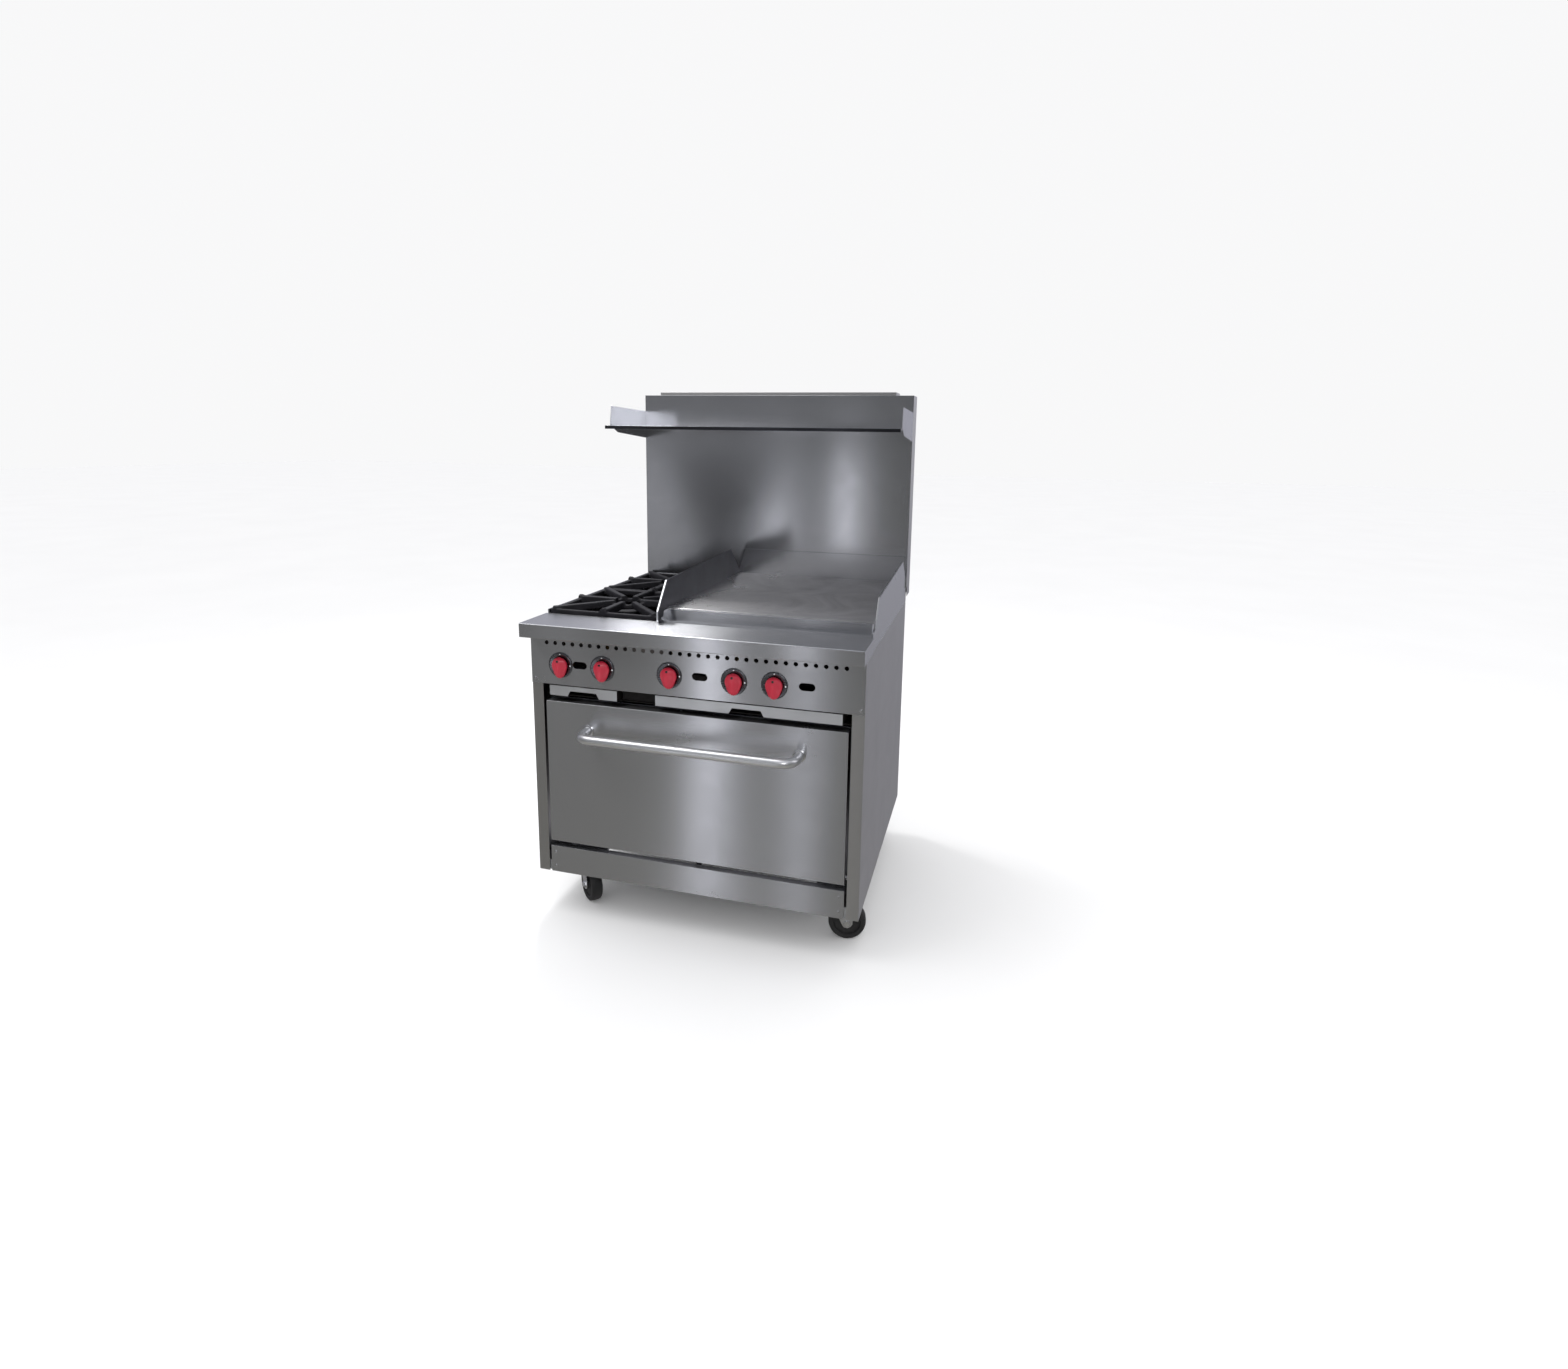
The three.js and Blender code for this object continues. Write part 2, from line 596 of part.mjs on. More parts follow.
add('riser_front', box(-HALF_WIDTH, HALF_WIDTH, RISER_FRONT, RISER_FRONT + SHEET,
  FRAME_TOP + GAP, RISER_TOP), stainless);
add('riser_rear', riserShell(), stainless);

function highShelf() {
  const { z, front, lip, bracketFront } = SHELF;
  const rear = RISER_FRONT - GAP;
  const sheet = prismX(outline([
    [front, z - lip], [front + SHEET, z - lip], [front + SHEET, z - SHEET],
    [rear, z - SHEET], [rear, z], [front, z],
  ]), -HALF_WIDTH, HALF_WIDTH);
  const clearance = HALF_WIDTH - SHEET - GAP;
  return cut(
    sheet,
    box(clearance, HALF_WIDTH + 1, bracketFront - 1, rear + 1, z - lip - 1, z + 1),
    box(-HALF_WIDTH - 1, -clearance, bracketFront - 1, rear + 1, z - lip - 1, z + 1));
}

function shelfBracket(sign) {
  const rear = RISER_FRONT - GAP;
  const plate = outline([
    [SHELF.bracketFront, 1364], [540, 1342], [rear, 1326], [rear, 1416], [497, 1423],
  ]);
  const outer = sign * HALF_WIDTH;
  const inner = sign * (HALF_WIDTH - SHEET);
  return prismX(plate, Math.min(outer, inner), Math.max(outer, inner));
}

add('shelf', highShelf(), stainless);
add('shelf_bracket_left', shelfBracket(-1), stainless);
add('shelf_bracket_right', shelfBracket(1), stainless);

// ---------------------------------------------------------------------- oven

const RACK_Z = 400;
const GUIDE_DEPTH = 8;

function ovenLiner() {
  const { half, front, rear, bottom, top, wall } = OVEN;
  const bodyBox = box(-half, half, front, rear, bottom, top);
  const face = box(-DOOR_HALF - 3, DOOR_HALF + 3, front - 2, front, DOOR_BOTTOM + 1, DOOR_TOP);
  const cavity = box(-half + wall, half - wall, front - 5, rear - wall, bottom + wall, top - wall);
  const shell = cut(join(bodyBox, face), cavity);
  const guides = [];
  for (const sign of [-1, 1]) {
    for (const z of [RACK_Z - 110, RACK_Z, RACK_Z + 110]) {
      const wallX = sign * (half - 1);
      const reachX = sign * (half - wall - GUIDE_DEPTH);
      guides.push(box(Math.min(wallX, reachX), Math.max(wallX, reachX), 60, rear - 1, z - 6, z - 3));
    }
  }
  return join(shell, ...guides);
}

function ovenRack() {
  const half = OVEN.half - OVEN.wall - 1.5;
  const front = 66;
  const rear = OVEN.rear - OVEN.wall - 12;
  const wire = 3;
  const rim = cut(
    box(-half, half, front, rear, -wire, wire),
    box(-half + 2 * wire, half - 2 * wire, front + 2 * wire, rear - 2 * wire, -wire - 1, wire + 1));
  const rods = [];
  const count = 17;
  for (let i = 1; i <= count; i += 1) {
    const x = -half + 2 * half * i / (count + 1);
    rods.push(box(x - 1.5, x + 1.5, front + 1, rear - 1, -1.5, 1.5));
  }
  rods.push(box(-half + 1, half - 1, (front + rear) / 2 - 3, (front + rear) / 2 + 3, -wire, 0));
  return join(rim, ...rods);
}

add('oven_liner', ovenLiner(), enamel);
add('oven_rack', ovenRack(), chromed).position.z = RACK_Z + GAP;
add('oven_burner', join(
  cylinderY(14, 60, 680, 0, 190, 12),
  box(-30, 30, 120, 140, 157.7, 182),
  box(-30, 30, 620, 640, 157.7, 182)), castIron);

// ---------------------------------------------------------------------- door

function doorOuter() {
  const inner = DOOR_HALF - SHEET;
  return cut(
    box(-DOOR_HALF, DOOR_HALF, 0, DOOR_DEPTH, DOOR_BOTTOM, DOOR_TOP),
    box(-inner, inner, SHEET, DOOR_DEPTH + 1, DOOR_BOTTOM + SHEET, DOOR_TOP - SHEET),
    cylinderX(HINGE.radius + 0.8, -HALF_WIDTH, HALF_WIDTH, HINGE.y, HINGE.z));
}

function doorInner() {
  const half = DOOR_HALF - 2;
  const plate = box(-half, half, DOOR_DEPTH + GAP, DOOR_DEPTH + 2, DOOR_BOTTOM + 4, DOOR_TOP - 2);
  const panel = box(-322, 322, DOOR_DEPTH + 1, DOOR_DEPTH + 5, 254, 590);
  return join(plate, panel);
}

function handlePath() {
  const { half, out, radius, bend, z } = HANDLE;
  const post = half - radius;
  const stations = [new THREE.Vector3(-post, -GAP, z)];
  const bendSteps = 6;
  for (const sign of [-1, 1]) {
    for (let i = 0; i <= bendSteps; i += 1) {
      const turn = Math.PI / 2 * (sign < 0 ? i : bendSteps - i) / bendSteps;
      stations.push(new THREE.Vector3(
        sign * (post - bend + bend * Math.cos(turn)), -out + bend - bend * Math.sin(turn), z));
    }
  }
  stations.push(new THREE.Vector3(post, -GAP, z));
  return stations;
}

add('door_outer', doorOuter(), stainless);
add('door_inner', doorInner(), stainless);
add('door_gasket', cut(
  box(-362, 362, DOOR_DEPTH + 2 + GAP, OVEN.front - 2 - GAP, 238, 614),
  box(-345, 345, DOOR_DEPTH, OVEN.front, 246, 600)), fibreSeal);
add('door_handle', roundBar(handlePath(), HANDLE.radius, 14), stainless);
add('door_hinge_rod', cylinderX(HINGE.radius, -421.9, 421.9, HINGE.y, HINGE.z, 12), galvanised);

// ------------------------------------------------------------------- casters

const FORK_TOP = 123.7;
const LEG = { inner: CASTER.wheelHalf + 2, sheet: 3 };

// The caster is modelled about its swivel axis, trailing along +X.
function casterFork() {
  const head = cylinderZ(28, 108, FORK_TOP, 0, 0, 20);
  const legShape = outline([
    [-24, 108], [-22, 112], [28, 112], [46, 58], [46, 44], [40, 38], [30, 38], [24, 44], [-24, 100],
  ]);
  const legOuter = LEG.inner + LEG.sheet;
  return join(
    head,
    box(-24, 28, -legOuter, legOuter, 107, 112),
    prismY(legShape, LEG.inner, legOuter),
    prismY(legShape, -legOuter, -LEG.inner),
    cylinderY(AXLE_RADIUS, -legOuter, legOuter, CASTER.trail, CASTER.wheelRadius, 12));
}

function casterWheel() {
  const { wheelRadius, wheelHalf } = CASTER;
  const bore = AXLE_RADIUS + 0.6;
  const shoulder = wheelRadius - 4;
  const profile = [
    [bore, -wheelHalf], [shoulder, -wheelHalf], [wheelRadius, -wheelHalf + 5],
    [wheelRadius, wheelHalf - 5], [shoulder, wheelHalf], [bore, wheelHalf], [bore, -wheelHalf],
  ];
  return new THREE.LatheGeometry(profile.map(([r, y]) => new THREE.Vector2(r, y)), 28);
}

const CASTERS = {
  front_left: { x: -CASTER.x, y: CASTER.front, turn: -42 },
  front_right: { x: CASTER.x, y: CASTER.front, turn: 10 },
  rear_left: { x: -CASTER.x, y: CASTER.rear, turn: 75 },
  rear_right: { x: CASTER.x, y: CASTER.rear, turn: 105 },
};

for (const [place, { x, y, turn }] of Object.entries(CASTERS)) {
  const caster = new THREE.Group();
  caster.position.set(x, y, 0);
  cabinet.add(caster);
  add(`caster_plate_${place}`, box(-48, 48, -35, 35, FORK_TOP + GAP, 127), galvanised, caster);
  const swivel = new THREE.Group();
  swivel.rotation.z = THREE.MathUtils.degToRad(turn);
  caster.add(swivel);
  add(`caster_fork_${place}`, casterFork(), galvanised, swivel);
  const wheel = add(`caster_wheel_${place}`, casterWheel(), blackRubber, swivel);
  wheel.position.set(CASTER.trail, 0, CASTER.wheelRadius);
}

export default range;
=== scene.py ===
"""Looks of the commercial gas range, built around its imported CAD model.

Metres, +Z up, the cook stands on the -Y side. Places and sizes come from the
CAD nodes' boxes, so every piece sits where the CAD model says.
"""

import math

import bmesh
import bpy
from mathutils import Matrix, Vector


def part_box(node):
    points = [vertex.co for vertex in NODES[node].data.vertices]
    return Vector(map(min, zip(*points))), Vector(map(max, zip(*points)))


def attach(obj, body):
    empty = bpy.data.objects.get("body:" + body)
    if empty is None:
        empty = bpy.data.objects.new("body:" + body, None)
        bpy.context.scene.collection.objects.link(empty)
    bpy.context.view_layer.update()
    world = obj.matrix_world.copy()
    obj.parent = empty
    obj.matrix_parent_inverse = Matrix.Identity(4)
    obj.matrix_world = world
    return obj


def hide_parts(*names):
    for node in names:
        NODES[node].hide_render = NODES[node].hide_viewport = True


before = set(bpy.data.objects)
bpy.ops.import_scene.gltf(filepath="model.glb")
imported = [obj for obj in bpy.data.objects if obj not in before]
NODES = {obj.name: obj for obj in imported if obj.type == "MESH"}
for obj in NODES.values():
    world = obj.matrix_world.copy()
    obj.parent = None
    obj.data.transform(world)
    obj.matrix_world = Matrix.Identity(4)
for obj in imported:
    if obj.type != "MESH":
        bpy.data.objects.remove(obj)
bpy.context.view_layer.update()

MM = 0.001
SHEET = 1.5 * MM
X, Y, Z = Vector((1, 0, 0)), Vector((0, 1, 0)), Vector((0, 0, 1))


# ------------------------------------------------------------ material helpers

class Look:
    """A material's node tree, with short calls that add a node and link it."""

    def __init__(self, name, metallic=0.0, **uniform):
        self.material = bpy.data.materials.new(name)
        self.material.use_nodes = True
        self.tree = self.material.node_tree
        self.shader = self.tree.nodes["Principled BSDF"]
        self.shader.inputs["Metallic"].default_value = metallic
        for socket, value in uniform.items():
            self.shader.inputs[socket.replace("_", " ")].default_value = value
        self.place = self.tree.nodes.new("ShaderNodeTexCoord").outputs["Object"]
        self.facing = self.place.node.outputs["Normal"]

    def feed(self, socket, value):
        if isinstance(value, bpy.types.NodeSocket):
            self.tree.links.new(value, socket)
        else:
            socket.default_value = value

    def add(self, kind, settings=(), **inputs):
        node = self.tree.nodes.new("ShaderNode" + kind)
        for key, value in dict(settings).items():
            setattr(node, key, value)
        for key, value in inputs.items():
            self.feed(node.inputs[key.replace("_", " ")], value)
        return node

    def math(self, operation, a, b=0.0):
        node = self.add("Math", {"operation": operation})
        self.feed(node.inputs[0], a)
        self.feed(node.inputs[1], b)
        return node.outputs[0]

    def stretched(self, scale):
        node = self.add("VectorMath", {"operation": "MULTIPLY"})
        self.feed(node.inputs[0], self.place)
        self.feed(node.inputs[1], scale)
        return node.outputs[0]

    def noise(self, vector, scale=1.0, detail=3.0, roughness=0.55, distortion=0.0):
        node = self.add("TexNoise", Vector=vector, Scale=scale, Detail=detail,
                        Roughness=roughness, Distortion=distortion)
        return node.outputs["Fac"]

    def ramp(self, value, *stops):
        """Turns a number into a colour or a grey level through (place, level) stops."""
        node = self.add("ValToRGB", Fac=value)
        elements = node.color_ramp.elements
        while len(elements) < len(stops):
            elements.new(0.5)
        for element, (place, level) in zip(elements, stops):
            element.position = place
            colour = level if isinstance(level, tuple) else (level, level, level)
            element.color = (*colour, 1.0)
        return node.outputs["Color"]

    def mix(self, share, a, b):
        node = self.add("Mix", {"data_type": "RGBA"})
        for index, value in ((0, share), (6, a), (7, b)):
            if isinstance(value, tuple):
                value = (*value, 1.0)
            self.feed(node.inputs[index], value)
        return node.outputs[2]

    def span(self, value, low, high, to_low=0.0, to_high=1.0):
        node = self.add("MapRange")
        for index, entry in enumerate((value, low, high, to_low, to_high)):
            self.feed(node.inputs[index], entry)
        return node.outputs[0]

    def axis(self, vector, index):
        return self.add("SeparateXYZ", Vector=vector).outputs[index]

    def bump(self, height, strength, distance, normal=None):
        node = self.add("Bump", Height=height, Strength=strength, Distance=distance)
        if normal is not None:
            self.feed(node.inputs["Normal"], normal)
        return node.outputs["Normal"]

    def finish(self, colour, roughness, normal=None):
        self.feed(self.shader.inputs["Base Color"], colour)
        self.feed(self.shader.inputs["Roughness"], roughness)
        if normal is not None:
            self.feed(self.shader.inputs["Normal"], normal)
        return self.material


def level_share(look):
    """1 on level faces and 0 on upright ones."""
    upward = look.math("ABSOLUTE", look.axis(look.facing, 2))
    return look.math("GREATER_THAN", upward, 0.7)


def stretch_reflections(look, level):
    """Reflections run down an upright face and towards the cook on a level one."""
    axis = look.add("CombineXYZ", Y=level, Z=look.math("SUBTRACT", 1.0, level)).outputs[0]
    node = look.add("VectorTransform", {"vector_type": "VECTOR", "convert_from": "OBJECT",
                                        "convert_to": "WORLD"}, Vector=axis)
    look.feed(look.shader.inputs["Tangent"], node.outputs[0])


def brushed_steel(name, tone, roughness, anisotropy=0.95, soil=0.25, painted_front_shade=0.0):
    """Sheet with a fine level grain, handling smudges and a slight waviness. It can also paint
    shade on the faces that face the cook.
    """
    look = Look(name, metallic=1.0, Anisotropic=anisotropy)
    level = level_share(look)
    stretch_reflections(look, level)
    depth_scale = look.span(level, 0.0, 1.0, 2.0, 520.0)
    grain_scale = look.add("CombineXYZ", X=2.0, Y=depth_scale, Z=520.0).outputs[0]
    grain = look.noise(look.stretched(grain_scale), detail=1.0)
    band_scale = look.add("CombineXYZ", X=1.2, Y=look.math("MULTIPLY", depth_scale, 0.12),
                          Z=62.0).outputs[0]
    bands = look.noise(look.stretched(band_scale), detail=1.0)
    smudge = look.noise(look.place, scale=7.0, detail=5.0, roughness=0.62, distortion=0.6)
    dull = look.ramp(smudge, (0.38, 0.0), (0.72, 1.0))
    streaks = look.math("ADD", look.math("MULTIPLY", bands, 0.05),
                        look.math("MULTIPLY", grain, 0.03))
    shade = look.mix(streaks, tone, tuple(0.8 * c for c in tone))
    shade = look.mix(look.math("MULTIPLY", dull, soil), shade, tuple(0.78 * c for c in tone))
    # Painted shade: faces that face the cook are darkened towards near black, standing in for the
    # shadow and dark reflection on a front lip.
    if painted_front_shade:
        front = look.math("LESS_THAN", look.axis(look.facing, 1), -0.7)
        shade = look.mix(look.math("MULTIPLY", front, painted_front_shade), shade, (0.018, 0.019, 0.026))
    spread = look.math("ADD", look.span(bands, 0.3, 0.7, roughness - 0.003, roughness + 0.004),
                       look.math("MULTIPLY", dull, 0.03))
    wave = look.noise(look.stretched((4.0, 4.0, 0.9)), detail=1.0)
    return look.finish(shade, spread, look.bump(wave, 0.07, 0.0016))


def griddle_steel():
    """A ground steel plate, seasoned brown in patches and scraped along its depth, with painted
    shade that darkens it towards its right side.
    """
    look = Look("griddle_steel", metallic=1.0, Anisotropic=0.75)
    stretch_reflections(look, level_share(look))
    scrape = look.noise(look.stretched((170.0, 5.0, 5.0)), detail=4.0)
    patch = look.noise(look.place, scale=4.2, detail=6.0, roughness=0.6, distortion=0.8)
    speck = look.noise(look.place, scale=60.0, detail=4.0, roughness=0.7)
    # Painted shade: colour darkens and roughness rises steadily towards the plate's right side,
    # standing in for the light falling off across it. The patches are seasoning.
    side = look.span(look.axis(look.place, 0), -0.1, 0.42)
    seasoning_and_painted_shade = look.math("ADD", look.math("MULTIPLY", patch, 0.75), look.math("MULTIPLY", side, 0.34))
    shade = look.ramp(seasoning_and_painted_shade, (0.3, (0.92, 0.91, 0.91)), (0.55, (0.62, 0.61, 0.62)),
                      (0.8, (0.34, 0.335, 0.34)))
    shade = look.mix(look.span(speck, 0.62, 0.78, 0.0, 0.5), shade, (0.07, 0.06, 0.055))
    spread = look.span(seasoning_and_painted_shade, 0.3, 0.85, 0.25, 0.39)
    normal = look.bump(scrape, 0.07, 0.0001)
    normal = look.bump(speck, 0.05, 0.0002, normal)
    return look.finish(shade, spread, normal)


def painted_reflection_steel():
    """Steel plate painted near black and mottled on its faces as a painted dark reflection, bright
    metal on its front-facing edges.
    """
    look = Look("painted_reflection_steel", metallic=1.0)
    edge = look.math("LESS_THAN", look.axis(look.facing, 1), -0.6)
    mottle = look.noise(look.place, scale=9.0, detail=6.0, roughness=0.62, distortion=0.5)
    # Painted reflection: the faces get a near-black mottled colour standing in for the dark
    # surroundings they reflect.
    face = look.ramp(mottle, (0.3, (0.052, 0.053, 0.06)), (0.7, (0.12, 0.12, 0.132)))
    shade = look.mix(edge, face, (0.85, 0.86, 0.88))
    spread = look.math("SUBTRACT", look.span(mottle, 0.3, 0.7, 0.42, 0.56),
                       look.math("MULTIPLY", edge, 0.12))
    return look.finish(shade, spread, look.bump(mottle, 0.2, 0.0006))


def cast_iron():
    """Sand-cast and oiled black, with grey ash where the flames reach."""
    look = Look("cast_iron", metallic=0.35, Specular_IOR_Level=0.45)
    sand = look.noise(look.place, scale=420.0, detail=4.0, roughness=0.7)
    lumps = look.noise(look.place, scale=45.0, detail=4.0)
    ash = look.noise(look.place, scale=11.0, detail=5.0, distortion=0.4)
    shade = look.ramp(lumps, (0.3, (0.007, 0.0065, 0.009)), (0.75, (0.016, 0.015, 0.02)))
    shade = look.mix(look.span(ash, 0.62, 0.85, 0.0, 0.25), shade, (0.045, 0.04, 0.04))
    spread = look.span(sand, 0.3, 0.7, 0.48, 0.66)
    normal = look.bump(sand, 0.45, 0.0006)
    return look.finish(shade, spread, look.bump(lumps, 0.3, 0.0012, normal))


def galvanised(name, tone, roughness=0.42, sooted_inside=False):
    """Zinc-coated sheet with its frosted crystal pattern."""
    look = Look(name, metallic=0.92)
    cells = look.add("TexVoronoi", Vector=look.place, Scale=95.0)
    crystal = look.axis(cells.outputs["Color"], 0)
    film = look.noise(look.place, scale=14.0, detail=5.0)
    shade = look.mix(look.span(crystal, 0.0, 1.0, 0.0, 0.3), tone, tuple(0.72 * c for c in tone))
    shade = look.mix(look.span(film, 0.45, 0.75, 0.0, 0.3), shade, tuple(0.6 * c for c in tone))
    if sooted_inside:
        inward = look.math("LESS_THAN", look.axis(look.facing, 1), -0.5)
        shade = look.mix(inward, shade, (0.035, 0.033, 0.032))
    spread = look.math("ADD", look.math("MULTIPLY", crystal, 0.12), roughness - 0.05)
    return look.finish(shade, spread, look.bump(film, 0.1, 0.0005))


def front_bright_tray():
    """Aluminised sheet: bright on its front-facing wall, dark with a mottled film on every other
    face.
    """
    look = Look("front_bright_tray", metallic=0.9)
    front = look.math("LESS_THAN", look.axis(look.facing, 1), -0.7)
    film = look.noise(look.place, scale=16.0, detail=6.0, distortion=0.6)
    inside = look.ramp(film, (0.3, (0.035, 0.03, 0.028)), (0.7, (0.10, 0.09, 0.085)))
    shade = look.mix(front, inside, (0.66, 0.67, 0.69))
    spread = look.math("SUBTRACT", look.span(film, 0.3, 0.7, 0.55, 0.7),
                       look.math("MULTIPLY", front, 0.25))
    return look.finish(shade, spread, look.bump(film, 0.15, 0.0005))


def polished(name, tone, roughness):
    """Bright drawn metal with faint rub marks."""
    look = Look(name, metallic=1.0)
    rub = look.noise(look.stretched((14.0, 260.0, 260.0)), detail=3.0)
    film = look.noise(look.place, scale=24.0, detail=5.0)
    shade = look.mix(look.span(film, 0.4, 0.75, 0.0, 0.3), tone, tuple(0.75 * c for c in tone))
    spread = look.math("ADD", look.span(rub, 0.3, 0.7, roughness - 0.04, roughness + 0.05),
                       look.span(film, 0.5, 0.8, 0.0, 0.08))
    return look.finish(shade, spread, look.bump(rub, 0.06, 0.0001))


def brass():
    look = Look("brass", metallic=1.0)
    tarnish = look.noise(look.place, scale=55.0, detail=5.0, distortion=0.4)
    shade = look.ramp(tarnish, (0.35, (0.62, 0.42, 0.16)), (0.7, (0.30, 0.19, 0.08)))
    spread = look.span(tarnish, 0.3, 0.7, 0.26, 0.48)
    return look.finish(shade, spread, look.bump(tarnish, 0.15, 0.0003))


def porcelain():
    """Speckled oven enamel with a light bake film."""
    look = Look("porcelain", Coat_Weight=0.5, Coat_Roughness=0.12)
    speck = look.noise(look.place, scale=900.0, detail=1.0)
    film = look.noise(look.place, scale=8.0, detail=6.0, distortion=0.5)
    shade = look.ramp(speck, (0.58, (0.016, 0.017, 0.024)), (0.66, (0.20, 0.21, 0.24)))
    shade = look.mix(look.span(film, 0.5, 0.8, 0.0, 0.4), shade, (0.05, 0.035, 0.02))
    ripple = look.noise(look.place, scale=55.0, detail=2.0)
    return look.finish(shade, look.span(film, 0.3, 0.8, 0.24, 0.4), look.bump(ripple, 0.04, 0.0003))


def fibre_rope():
    look = Look("fibre_rope", Sheen_Weight=0.3)
    weave = look.add("TexWave", {"bands_direction": "DIAGONAL"}, Vector=look.place, Scale=160.0,
                     Distortion=3.0, Detail=2.0).outputs["Fac"]
    scorch = look.noise(look.place, scale=18.0, detail=4.0)
    shade = look.mix(look.span(weave, 0.0, 1.0), (0.11, 0.105, 0.095), (0.24, 0.23, 0.205))
    shade = look.mix(look.span(scorch, 0.5, 0.75, 0.0, 0.6), shade, (0.06, 0.045, 0.03))
    return look.finish(shade, look.span(weave, 0.0, 1.0, 0.95, 0.8), look.bump(weave, 0.6, 0.0012))


def moulded(name, tone, worn_tone, roughness, grain=700.0, **uniform):
    """Moulded plastic or rubber: fine surface grain, scuffs and a paler worn film."""
    look = Look(name, **uniform)
    pores = look.noise(look.place, scale=grain, detail=3.0)
    scuff = look.noise(look.place, scale=48.0, detail=6.0, roughness=0.65, distortion=0.5)
    shade = look.mix(look.span(scuff, 0.5, 0.8, 0.0, 0.55), tone, worn_tone)
    spread = look.math("ADD", look.span(scuff, 0.35, 0.75, roughness - 0.05, roughness + 0.12),
                       look.math("MULTIPLY", pores, 0.05))
    return look.finish(shade, spread, look.bump(pores, 0.18, 0.0003))


STEEL_TONE = (0.56, 0.565, 0.585)
STAINLESS = brushed_steel("stainless", STEEL_TONE, 0.245)
RISER_STEEL = brushed_steel("riser_stainless", STEEL_TONE, 0.175, anisotropy=0.6, soil=0.12)
# The shelf steel paints shade on the shelf's front lip.
SHELF_STEEL = brushed_steel("shelf_stainless", STEEL_TONE, 0.245, painted_front_shade=0.93)
SIDE_STEEL = brushed_steel("side_stainless", (0.52, 0.515, 0.51), 0.33, anisotropy=0.7)
GRIDDLE = griddle_steel()
DARK_REFLECTION_STEEL = painted_reflection_steel()
IRON = cast_iron()
ZINC = galvanised("galvanised", (0.55, 0.56, 0.575))
REAR_ZINC = galvanised("rear_galvanised", (0.5, 0.505, 0.515), sooted_inside=True)
SOOTED = galvanised("sooted_zinc", (0.035, 0.033, 0.032), 0.6)
TRAY_METAL = front_bright_tray()
PLATED = galvanised("zinc_plated", (0.6, 0.6, 0.61), 0.34)
CHROME = polished("chrome", (0.74, 0.745, 0.76), 0.13)
SATIN = polished("satin_steel", (0.86, 0.865, 0.88), 0.33)
BRIGHT = polished("bright_steel", (0.7, 0.705, 0.72), 0.2)
BRASS = brass()
ENAMEL = porcelain()
ROPE = fibre_rope()
RED = moulded("knob_red", (0.42, 0.012, 0.034), (0.50, 0.045, 0.075), 0.34,
              Specular_IOR_Level=0.5, Coat_Weight=0.25, Coat_Roughness=0.2)
RUBBER = moulded("wheel_rubber", (0.011, 0.011, 0.012), (0.04, 0.038, 0.036), 0.55, grain=380.0)
BEZEL = polished("bezel_steel", (0.16, 0.16, 0.175), 0.24)
BLACK_PAINT = moulded("black_paint", (0.012, 0.012, 0.014), (0.05, 0.05, 0.05), 0.4)
WHITE_PAINT = moulded("white_paint", (0.75, 0.76, 0.78), (0.5, 0.5, 0.5), 0.4)


# ------------------------------------------------------------ geometry helpers

def span(node):
    """Lowest corner, highest corner, and centre of a CAD node."""
    low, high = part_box(node)
    return low, high, (low + high) / 2


def show(name, bm, material, body, stands_for=(), smooth=35.0):
    """Makes a piece of a bmesh: shaded smooth but for its sharp edges, on a body."""
    mesh = bpy.data.meshes.new(name)
    bmesh.ops.recalc_face_normals(bm, faces=bm.faces)
    bm.to_mesh(mesh)
    bm.free()
    piece = bpy.data.objects.new(name, mesh)
    bpy.context.scene.collection.objects.link(piece)
    mesh.materials.append(material)
    mesh.shade_smooth()
    mesh.set_sharp_from_angle(angle=math.radians(smooth))
    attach(piece, body)
    if stands_for:
        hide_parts(*stands_for)
    return piece


def soften(piece, width, segments=2):
    """Rounds a piece's edges, as folded and machined metal has them."""
    weld = piece.modifiers.new("weld", "WELD")
    weld.merge_threshold = 1e-5
    bevel = piece.modifiers.new("edges", "BEVEL")
    bevel.width = width
    bevel.segments = segments
    bevel.limit_method = "ANGLE"
    bevel.angle_limit = math.radians(35.0)
    bevel.use_clamp_overlap = True
    shading = piece.modifiers.new("shading", "WEIGHTED_NORMAL")
    shading.keep_sharp = True


def skin(bm, rings, closed=False):
    """Joins rings of points, each as long as the next, and caps the two ends."""
    loops = [[bm.verts.new(point) for point in ring] for ring in rings]
    pairs = list(zip(loops, loops[1:]))
    if closed:
        pairs.append((loops[-1], loops[0]))
    for a, b in pairs:
        for i in range(len(a)):
            j = (i + 1) % len(a)
            bm.faces.new((a[i], a[j], b[j], b[i]))
    if not closed:
        bm.faces.new(loops[0])
        bm.faces.new(loops[-1])


def block(bm, low, high, turn=None):
    """A box between two corners, turned by a matrix if one is given."""
    low, high = Vector(low), Vector(high)
    made = bmesh.ops.create_cube(bm, size=1.0)["verts"]
    place = Matrix.Translation((low + high) / 2) @ Matrix.Diagonal((*(high - low), 1.0))
    bmesh.ops.transform(bm, matrix=(turn or Matrix()) @ place, verts=made)


def turned(bm, profile, centre, axis, sides=48, closed=False):
    """Turns a profile of (radius, height) points about an axis through centre."""
    basis = axis.normalized().to_track_quat("Z", "Y").to_matrix()
    rings = []
    for radius, height in profile:
        ring = []
        for i in range(sides):
            angle = 2 * math.pi * i / sides
            local = Vector((radius * math.cos(angle), radius * math.sin(angle), height))
            ring.append(Vector(centre) + basis @ local)
        rings.append(ring)
    skin(bm, rings, closed)


def in_mm(*points):
    """Points given in millimetres, in metres."""
    return [(a * MM, b * MM) for a, b in points]


def circle(x, z, radius, sides):
    return [(x + radius * math.cos(2 * math.pi * i / sides),
             z + radius * math.sin(2 * math.pi * i / sides)) for i in range(sides)]


